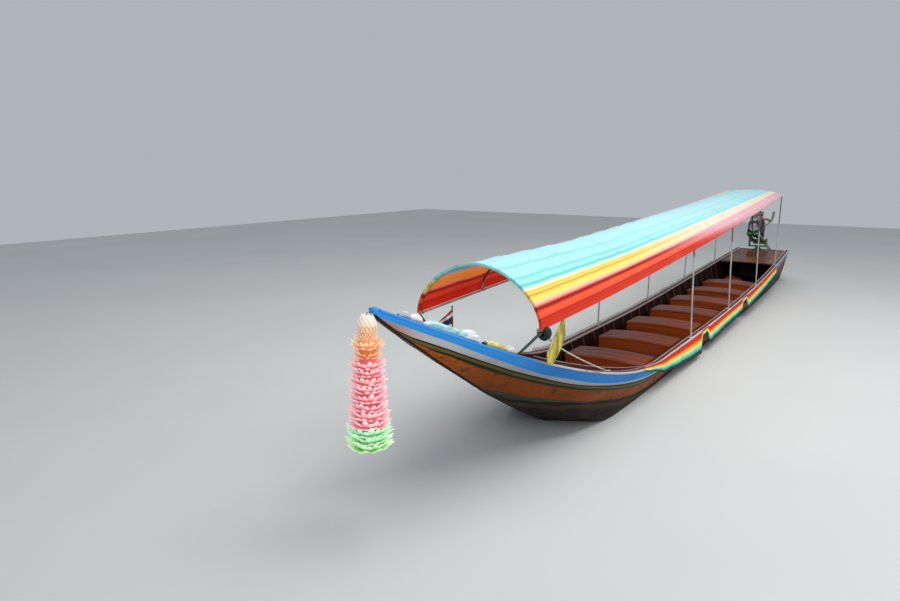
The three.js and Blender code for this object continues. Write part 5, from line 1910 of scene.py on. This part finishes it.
# %% Clutch housing
def make_clutch():
    """A bell with twelve thin ribs that run down its sides."""
    bell = Shapes()
    bell.turned([(0, 0), (0.098, 0), (0.0985, 0.014), (0.094, 0.017), (0.092, 0.1), (0.084, 0.2),
                 (0.07, 0.31),
                 (0.062, 0.345), (0.062, 0.3905), (0, 0.3905)], (0.1296, 0, SHAFT_Z), (-1, 0, 0), 48)
    for a in turns(12, 0.5):
        away = Vector((0, cos(a), sin(a)))
        wide = Vector(AHEAD).cross(away) * 0.003
        rings = []
        for x, r in ((0.114, 0.0905), (-0.19, 0.068)):
            low = Vector((x, 0, SHAFT_Z)) + away * r
            high = low + away * 0.006
            rings.append([low - wide, low + wide, high + wide * 0.7, high - wide * 0.7])
        bell.loft(rings)
    bell.moved(DRIVE)
    return bell.finish("clutch_bell", "drive", "engine_metal", engine_iron, ("clutch_housing",), 40)


clutch = make_clutch()
print("clutch housing:", len(clutch.data.polygons), "faces")

# %% [markdown]
# ## Tail tube and tiller
# The long tube that gives this boat its name carries the shaft to the propeller. Collars mark its
# bearings. At the other end a bent bar with a ribbed rubber grip is what the boat is steered by.

# %% Tail tube
def make_tail():
    tail = Shapes()
    profile = [(0, 0), (0.062, 0), (0.062, 0.014), (0.06, 0.016), (0.06, 0.038), (0.046, 0.042),
               (0.04, 0.06)]
    for at in (0.6, 1.25, 1.9, 2.55, 3.2):
        profile += [(0.038, at - 0.02), (0.038, at - 0.014), (0.0415, at - 0.012), (0.0415, at + 0.012),
                    (0.038, at + 0.014)]
    profile += [(0.038, 3.52), (0.0415, 3.53), (0.0425, 3.6), (0.0425, 3.76), (0.04, 3.7884), (0, 3.7884)]
    tail.turned(profile, (-0.2614, 0, SHAFT_Z), (-1, 0, 0), 40)
    for x in (-0.4, -1.55, -2.8, -3.9):
        tail.turned([(0, 0), (0.006, 0), (0.006, 0.006), (0.0035, 0.008), (0.0035, 0.014), (0, 0.015)],
                    (x, 0, SHAFT_Z + 0.0375), UP, 10)
    return tail.moved(DRIVE).finish("tail_shaft_tube", "drive", "tube_paint", tube_blue, ("tail_tube",), 40)


tail = make_tail()
print("tail tube:", len(tail.data.polygons), "faces")

# %% Tiller
def tiller_paint():
    """Worn steel, with the mark of 1 for the rubber grip."""
    finish = Finish("tiller_paint", {})
    grip = finish.kept("part").above(0.5, 0.2)
    worn = finish.noise(15, 5).above(0.58, 0.1)
    colour = finish.layers((60, 70, 76), ((132, 118, 108), worn * 0.7), ((24, 24, 25), grip))
    return finish.wear(colour, 0.4 + grip * 0.4, finish.bump(finish.noise(80, 3), 0.15, 0.001),
                       {"Metallic": (1 - grip) * worn * 0.6})


def make_tiller():
    bar = Shapes()
    route = [(0.7806, 0, 0), (0.8, 0, 0), (0.83, 0, 0), (0.9, 0, 0.06), (0.98, 0, 0.2),
             (1.08, 0, 0.3), (1.15, 0, 0.317), (1.24, 0, 0.33)]
    bar.tube(smooth_path(route, 0.012)[0], 0.0168, 20)
    bar.turned([(0, 0), (0.03, 0), (0.03, 0.007), (0.02, 0.01), (0, 0.01)], (0.7808, 0, 0), AHEAD, 24)
    grip = [(0, 0), (0.021, 0)]
    for i in range(14):
        grip += [(0.024, 0.004 + 0.009 * i), (0.024, 0.009 + 0.009 * i), (0.0215, 0.0105 + 0.009 * i)]
    grip += [(0.0235, 0.13), (0.016, 0.1315), (0, 0.1315)]
    bar.turned(grip, (1.13, 0, 0.314), (0.13, 0, 0.019), 24, 1)
    lever = [(1.105, 0.014, 0.312), (1.1, 0.02, 0.33), (1.125, 0.02, 0.352), (1.19, 0.02, 0.362)]
    bar.tube(smooth_path(lever, 0.008)[0], 0.005, 10)
    return bar.moved(DRIVE).finish("tiller_bar", "drive", "dark_steel", tiller_paint(), ("tiller",), 40)


tiller = make_tiller()
print("tiller:", len(tiller.data.polygons), "faces")

# %% [markdown]
# ## Post and tank
# The engine turns on a flanged post with four gussets, bolted to its bed. Fuel comes from a moulded
# plastic can on the aft deck, with raised ribs, a handle and a black cap.

# %% Post
def make_post():
    post, foot = Shapes(), Vector((POST_X, 0, 0.7605))
    post.turned([(0, 0), (0.12, 0), (0.12, 0.0145), (0.117, 0.0155), (0.062, 0.0155), (0.062, 0.03),
                 (0.0595, 0.036), (0.058, 0.06), (0.056, 0.08), (0.056, 0.0846), (0, 0.0846)],
                (POST_X, 0, 0.7455), UP, 48)
    for away in map(heading, turns(4, 0.5)):
        wide = Vector((-away.y, away.x, 0)) * 0.004
        corners = [foot + away * 0.112, foot + away * 0.055, foot + away * 0.055 + Vector((0, 0, 0.055))]
        post.loft([[p - wide for p in corners], [p + wide for p in corners]])
    return post.finish("swivel_post", "hull", "green_steel", green_paint, ("pivot_post",), 40)


post = make_post()
print("post:", post.name)

# %% Tank
def tank_paint():
    """Sun-bleached red plastic, with the mark of 1 for the black cap."""
    finish = Finish("tank_red", {"Subsurface Weight": 0.05})
    fade = finish.noise(3, 4).above(0.5, 0.4)
    scuff = finish.noise(30, 5, (1, 1, 0.5)).above(0.64, 0.08)
    colour = finish.layers((176, 44, 32), ((204, 84, 62), fade * 0.6),
                           ((220, 150, 130), scuff * 0.5),
                           ((28, 28, 30), finish.kept("part").above(0.5, 0.2)))
    return finish.wear(colour, 0.38 + scuff * 0.3 + fade * 0.1,
                       finish.bump(finish.noise(60, 3), 0.1, 0.001))


def make_tank():
    tank, x = Shapes(), -5.52
    tank.box((-5.69, -0.42, -0.0455), (-5.35, -0.06, 0.205), 0.026)
    for rib in (-5.635, -5.405):
        tank.box((rib - 0.012, -0.4215, 0.0), (rib + 0.012, -0.0585, 0.165), 0.004)
    for rib in (-0.36, -0.24, -0.12):
        tank.box((-5.6915, rib - 0.014, 0.0), (-5.3485, rib + 0.014, 0.165), 0.004)
    handle = [(x, -0.36, 0.196), (x, -0.355, 0.236), (x, -0.31, 0.244), (x, -0.23, 0.244),
              (x, -0.185, 0.236), (x, -0.18, 0.196)]
    tank.tube(smooth_path(handle, 0.01)[0], 0.01)
    tank.turned([(0, 0), (0.034, 0), (0.034, 0.006), (0.038, 0.008), (0.038, 0.034), (0.034, 0.04),
                 (0, 0.041)],
                (x, -0.11, 0.2035), UP, 32, 1)
    return tank.finish("fuel_can", "hull", "tank_plastic", tank_paint(), ("fuel_tank",), 40)


tank = make_tank()
print("tank:", tank.name)

# %% [markdown]
# ## Propeller
# Two brass blades stand on a turned hub. A blade is a loft of thin ovals from root to tip, each
# turned a little further than the one before, because the tip moves faster than the root.

# %% Propeller
# How far out on a blade, half its width there and half its thickness, in metres.
BLADE = [(0.02, 0.026, 0.006), (0.06, 0.046, 0.005), (0.095, 0.047, 0.004), (0.112, 0.035, 0.0032),
         (0.12, 0.022, 0.0026), (0.1246, 0.006, 0.0015)]
HUB_START = -4.0505
BLADE_AFT = 0.095


def blade_ring(far, way):
    pitch = radians(48 - far * 200)
    half, deep = from_table(BLADE, far), from_table(BLADE, far, 2)
    ring = []
    for a in turns(28):
        u, v = cos(a) * half, sin(a) * deep
        x = HUB_START - BLADE_AFT + u * sin(pitch) + v * cos(pitch)
        ring.append((x, way * (u * cos(pitch) - v * sin(pitch)), SHAFT_Z + way * far))
    return ring


def make_screw():
    screw = Shapes()
    hub = [(0, 0), (0.019, 0), (0.02, 0.001), (0.02, 0.049), (0.031, 0.05), (0.0335, 0.053),
           (0.033, 0.08), (0.03, 0.118), (0.0285, 0.124), (0.023, 0.125), (0.023, 0.129),
           (0.0195, 0.13), (0.0195, 0.143), (0.01, 0.144), (0.0095, 0.149), (0, 0.15)]
    screw.turned(hub, (HUB_START, 0, SHAFT_Z), (-1, 0, 0), 40)
    for way in (1, -1):
        screw.loft([blade_ring(far, way) for far in spaced(BLADE[0][0], BLADE[-1][0], 26)])
    return screw.moved(DRIVE).finish("screw", "propeller", "brass", brass_finish, ("propeller",), 40)


screw = make_screw()
print("screw:", len(screw.data.polygons), "faces")

# %% [markdown]
# ## Solids that keep their shape
# The transom, the engine bed, the cradle and the skeg are flat plates and beams, and the CAD solids
# show them as they are. They get a finish and nothing more. The transom's bands follow the sides.

# %% Solids that keep their shape
# Height where a band starts, how soft its edge is, and its colour.
TRANSOM_BANDS = [
    (0.062, 0.01, 210, 112, 30), (0.14, 0.008, 232, 218, 196), (0.2, 0.008, 40, 128, 122),
    (0.3, 0.008, 226, 150, 52), (0.4, 0.006, 232, 226, 214), (0.5, 0.006, 36, 62, 120),
    (0.56, 0.006, 168, 40, 34),
]


def transom_paint():
    finish = Finish("transom_paint", {"Coat Roughness": 0.25})
    up, swell = finish.axis(2), (finish.axis(1) * 16).wave() * 0.022
    grain = finish.noise(1, 4, (8, 1.5, 34))
    chips = finish.noise(17, 6).above(0.63, 0.05)
    bands = []
    for start, soft, *seen in TRANSOM_BANDS:
        height = up + swell if 0.1 < start < 0.4 else up
        bands.append((tone(*seen), height.above(start, soft)))
    inside = finish.facing(0).above(0.3, 0.2)
    colour = finish.layers((70, 14, 8), *bands, ((112, 74, 50), chips * 0.7),
                           ((64, 34, 22), inside))
    return finish.wear(colour, 0.4 + chips * 0.3 + grain * 0.1, finish.bump(grain, 0.25, 0.002))


keep_solid(transom_paint(), "transom")
keep_solid(stock_varnish, "engine_bed", "stem_block")
keep_solid(green_paint, "swivel_yoke", "engine_cradle")
keep_solid(tube_blue, "skeg")
print("transom bands:", len(TRANSOM_BANDS) + 1)

# %% [markdown]
# ## Fastenings
# Bolts, nails and lashings are the small repeats that make a boat look built. They go on with the
# same stamping tree as the petals: one shape each, and a list of places with a direction.

# %% Shapes of the fastenings
def nail_shape():
    nail = [(0, -0.2), (0.9, -0.2), (1.0, 0.0), (0.7, 0.22), (0, 0.3)]
    return stamp_shape(Shapes().turned(nail, (0, 0, 0), UP, 8))


def bolt_shape():
    washer = [(0, 0), (1.45, 0), (1.45, 0.22), (0, 0.22)]
    head = [(0, 0.2), (1.0, 0.2), (1.0, 0.85), (0.85, 0.95), (0, 0.95)]
    return stamp_shape(Shapes().turned(washer, (0, 0, 0), UP, 16).turned(head, (0, 0, 0), UP, 6))


def lashing_shape():
    """Three turns of thin line, each a ring, round a pipe that runs along z."""
    line = Shapes()
    for height in (-0.28, 0.0, 0.28):
        line.loop([[out * (1 + 0.15 * cos(b)) + Vector((0, 0, height + 0.15 * sin(b))) for b in turns(8)]
                   for out in map(heading, turns(20))], 0.6)
    return stamp_shape(line)


nail, bolt, lashing = nail_shape(), bolt_shape(), lashing_shape()
print("points of a nail, a bolt and a lashing:", [len(p.data.vertices) for p in (nail, bolt, lashing)])

# %% [markdown]
# ## Where the nails go
# A deck plank is nailed twice at each beam, the covering boards once in each frame space, and the
# seats along their bearers. The places come from the same functions as the planks themselves.

# %% Nails
NAIL = 0.0035
TINT = 0.5


def upright(at):
    return (at, UP, AHEAD, NAIL, TINT)


def nail_spots():
    spots = []
    for first, last, planks in ((0.35, 1.9, 9), (13.4, 14.9, 11)):
        for s in spaced(first, last, 5):
            half = deck_reach(s)
            for y in (-half + 2 * half * (k + u) / planks for k in range(planks) for u in (0.28, 0.72)):
                spots.append(upright(place(s, y, deck_z(s, y))))
    for s in spaced(0.7, 14.8, 94):
        spots += [upright(place(s, side * (half_beam(s) - 0.033), board_top(s))) for side in (1, -1)]
    for i in range(BENCH_COUNT):
        front = BOW_X - FIRST_BENCH - BENCH_PITCH * i
        for x in (0.03, 0.12, 0.18, 0.3, 0.35, 0.475):
            spots += [upright((front - x, y, seat_z(y))) for y in (-0.49, 0.0, 0.49)]
        for y in spaced(-0.48, 0.48, 6):
            spots.append(((front - 0.008, y, 0.296 - 0.02 * (y / BENCH_HALF) ** 2), AHEAD, UP, NAIL, TINT))
    return spots


nails = stamp_on("copper_nails", nail_spots(), nail, "hull", "dark_steel", dark_steel, (0.85, 1.1), 2)
print("nails:", len(nails.data.polygons), "faces")

# %% [markdown]
# ## Bolts
# The cover, the sump flange, the clutch housing and the tube's flange are bolted on, and so are the
# post and the engine bed. Bolts on the engine are set out in its own frame and then carried along.

# %% Bolts
def engine_bolt_spots():
    spots = []
    for side in (1, -1):
        spots += [((x, side * 0.141, 0.107), UP, AHEAD, 0.005) for x in spaced(0.19, 0.67, 6)]
        spots += [((x, side * 0.0815, 0.4602), UP, AHEAD, 0.003) for x in spaced(0.185, 0.665, 5)]
    for a in turns(8, 0.5):
        for x, r, size in ((0.116, 0.086, 0.0045), (-0.2995, 0.0515, 0.0035)):
            spots.append(((x, r * cos(a), SHAFT_Z + r * sin(a)), (-1, 0, 0), UP, size))
    turn = DRIVE.to_3x3()
    return [(DRIVE @ Vector(at), turn @ Vector(out), turn @ Vector(ahead), size, TINT)
            for at, out, ahead, size in spots]


def post_bolt_spots():
    places = [(POST_X + 0.098 * cos(a), 0.098 * sin(a), 0.7608) for a in turns(8)]
    places += [(BOW_X - s, y, 0.745) for s in (14.19, 14.53) for y in (-0.165, 0.165)]
    return [(p, UP, AHEAD, 0.007, TINT) for p in places]


engine_bolts = stamp_on("engine_bolts", engine_bolt_spots(), bolt, "drive", "dark_steel", dark_steel,
                        (1, 1), 3)
post_bolts = stamp_on("post_bolts", post_bolt_spots(), bolt, "hull", "dark_steel", dark_steel, (1, 1), 3)
print("bolts:", len(engine_bolts.data.polygons) + len(post_bolts.data.polygons), "faces")

# %% [markdown]
# ## Lashings
# White line ties the canopy's hem to the rails at each hoop. At the front strut a dark rope is wound
# into a thick, uneven knot. Both are the same three rings, stamped at other sizes.

# %% Lashings
ties = [(rail_point(s, side, shift), AHEAD, UP, 0.0125, TINT)
        for s in hoops for side in (1, -1) for shift in (-0.022, 0.022)]
ties += [((4.448 + 0.012 * k, 0.64, 0.6265 + 0.004 * k), (1, 0, -0.3), UP, 0.011, TINT) for k in range(3)]
lashings = stamp_on("lashings", ties, lashing, "hull", "rope", white_rope, (0.95, 1.1), 5)

KNOT_SIZES = (0.02, 0.032, 0.043, 0.051, 0.054, 0.051, 0.041, 0.029)
knot_y, knot_z = canopy_half(FRONT_HOOP) + 0.006, rail_z(FRONT_HOOP) - 0.056
wraps = [((6.07 - 0.013 * k, knot_y - 0.002 * k, knot_z), (1, 0.16 * (-1) ** k, 0.2 * (k % 3 - 1)),
          UP, size, TINT)
         for k, size in enumerate(KNOT_SIZES)]
black_rope = rope_finish("black_rope", tone(44, 46, 50), tone(14, 15, 17))
front_wrap = stamp_on("front_wrap", wraps, lashing, "hull", "rope", black_rope, (0.95, 1.1), 6)
for stamp in (nail, bolt, lashing):
    bpy.data.objects.remove(stamp)
print("lashings:", len(lashings.data.polygons) + len(front_wrap.data.polygons), "faces")

# %% [markdown]
# ## Stage
# The studio floor lies at the waterline, height 0, and has a hole of the hull's shape there, because
# the floor boards inside the hull lie lower. It is pale and rough, so that the boat keeps its own
# colours.

# %% Stage
FLOOR_ENDS, FLOOR_HALF = 26.0, 24


def waterline_half(s):
    """Half width of the hull at the waterline."""
    points = section(s)
    for a, b in zip(points, points[1:]):
        if a.y >= 0 > b.y:
            return a.x + (b.x - a.x) * (a.y / (a.y - b.y))
    return 0.0


def make_floor():
    halves = [(BOW_X - s, waterline_half(s)) for s in hull_stations]
    rows = [(x, max(0.0, half - 0.012)) for x, half in halves if half > 0.0]
    rows = [(FLOOR_ENDS, 0.0), (rows[0][0] + 0.02, 0.0)] + rows + [(rows[-1][0], 0.0), (-FLOOR_ENDS, 0.0)]
    points, faces = [], []
    for i, (x, y) in enumerate(rows):
        points += [(x, y, 0), (x, FLOOR_HALF, 0), (x, -y, 0), (x, -FLOOR_HALF, 0)]
        if i:
            a, b = 4 * i - 4, 4 * i
            faces += [(a + 1, b + 1, b, a), (b + 3, a + 3, a + 2, b + 2)]
    mesh = bpy.data.meshes.new("studio_floor")
    mesh.from_pydata(points, [], faces)
    mesh.validate()
    finish = Finish("studio_floor", {"Specular IOR Level": 0.2})
    pale = finish.ramp(finish.noise(0.3, 2), [(0.3, (0.6, 0.61, 0.6, 1)), (0.7, (0.63, 0.64, 0.63, 1))])
    mesh.materials.append(finish.wear(pale, 0.9))
    floor = new_object("studio_floor", mesh)
    return floor


floor = make_floor()
print("studio floor faces:", len(floor.data.polygons))

# %% [markdown]
# ## Light
# The light is that of a bright overcast day: a broad, slightly warm lamp from above and a weaker,
# cooler one from ahead. The view transform is plain, so that a colour picked for a paint comes out
# as that colour.

# %% Light
bpy.context.scene.view_settings.view_transform = "Standard"
world = bpy.data.worlds.new("studio")
bpy.context.scene.world = world
world.use_nodes = True
world.node_tree.nodes["Background"].inputs["Color"].default_value = (0.86, 0.92, 1.0, 1)
world.node_tree.nodes["Background"].inputs["Strength"].default_value = 0.5


def lamp(name, at, aim, size, power, colour):
    light = bpy.data.lights.new(name, "AREA")
    light.shape, light.size, light.energy, light.color = "SQUARE", size, power, colour
    holder = new_object(name, light)
    holder.location = at
    holder.rotation_euler = (Vector(aim) - Vector(at)).to_track_quat("-Z", "Y").to_euler()
    return holder


lamps = [lamp("sky_lamp", (2.0, 3.0, 11.0), (0, 0, 0.5), 10.0, 1100, (1.0, 0.985, 0.96)),
         lamp("bow_lamp", (12.0, 8.0, 6.0), (3, 0, 0.6), 6.0, 330, (0.95, 0.98, 1.0))]
print("lamps:", [one.name for one in lamps])

# %% [markdown]
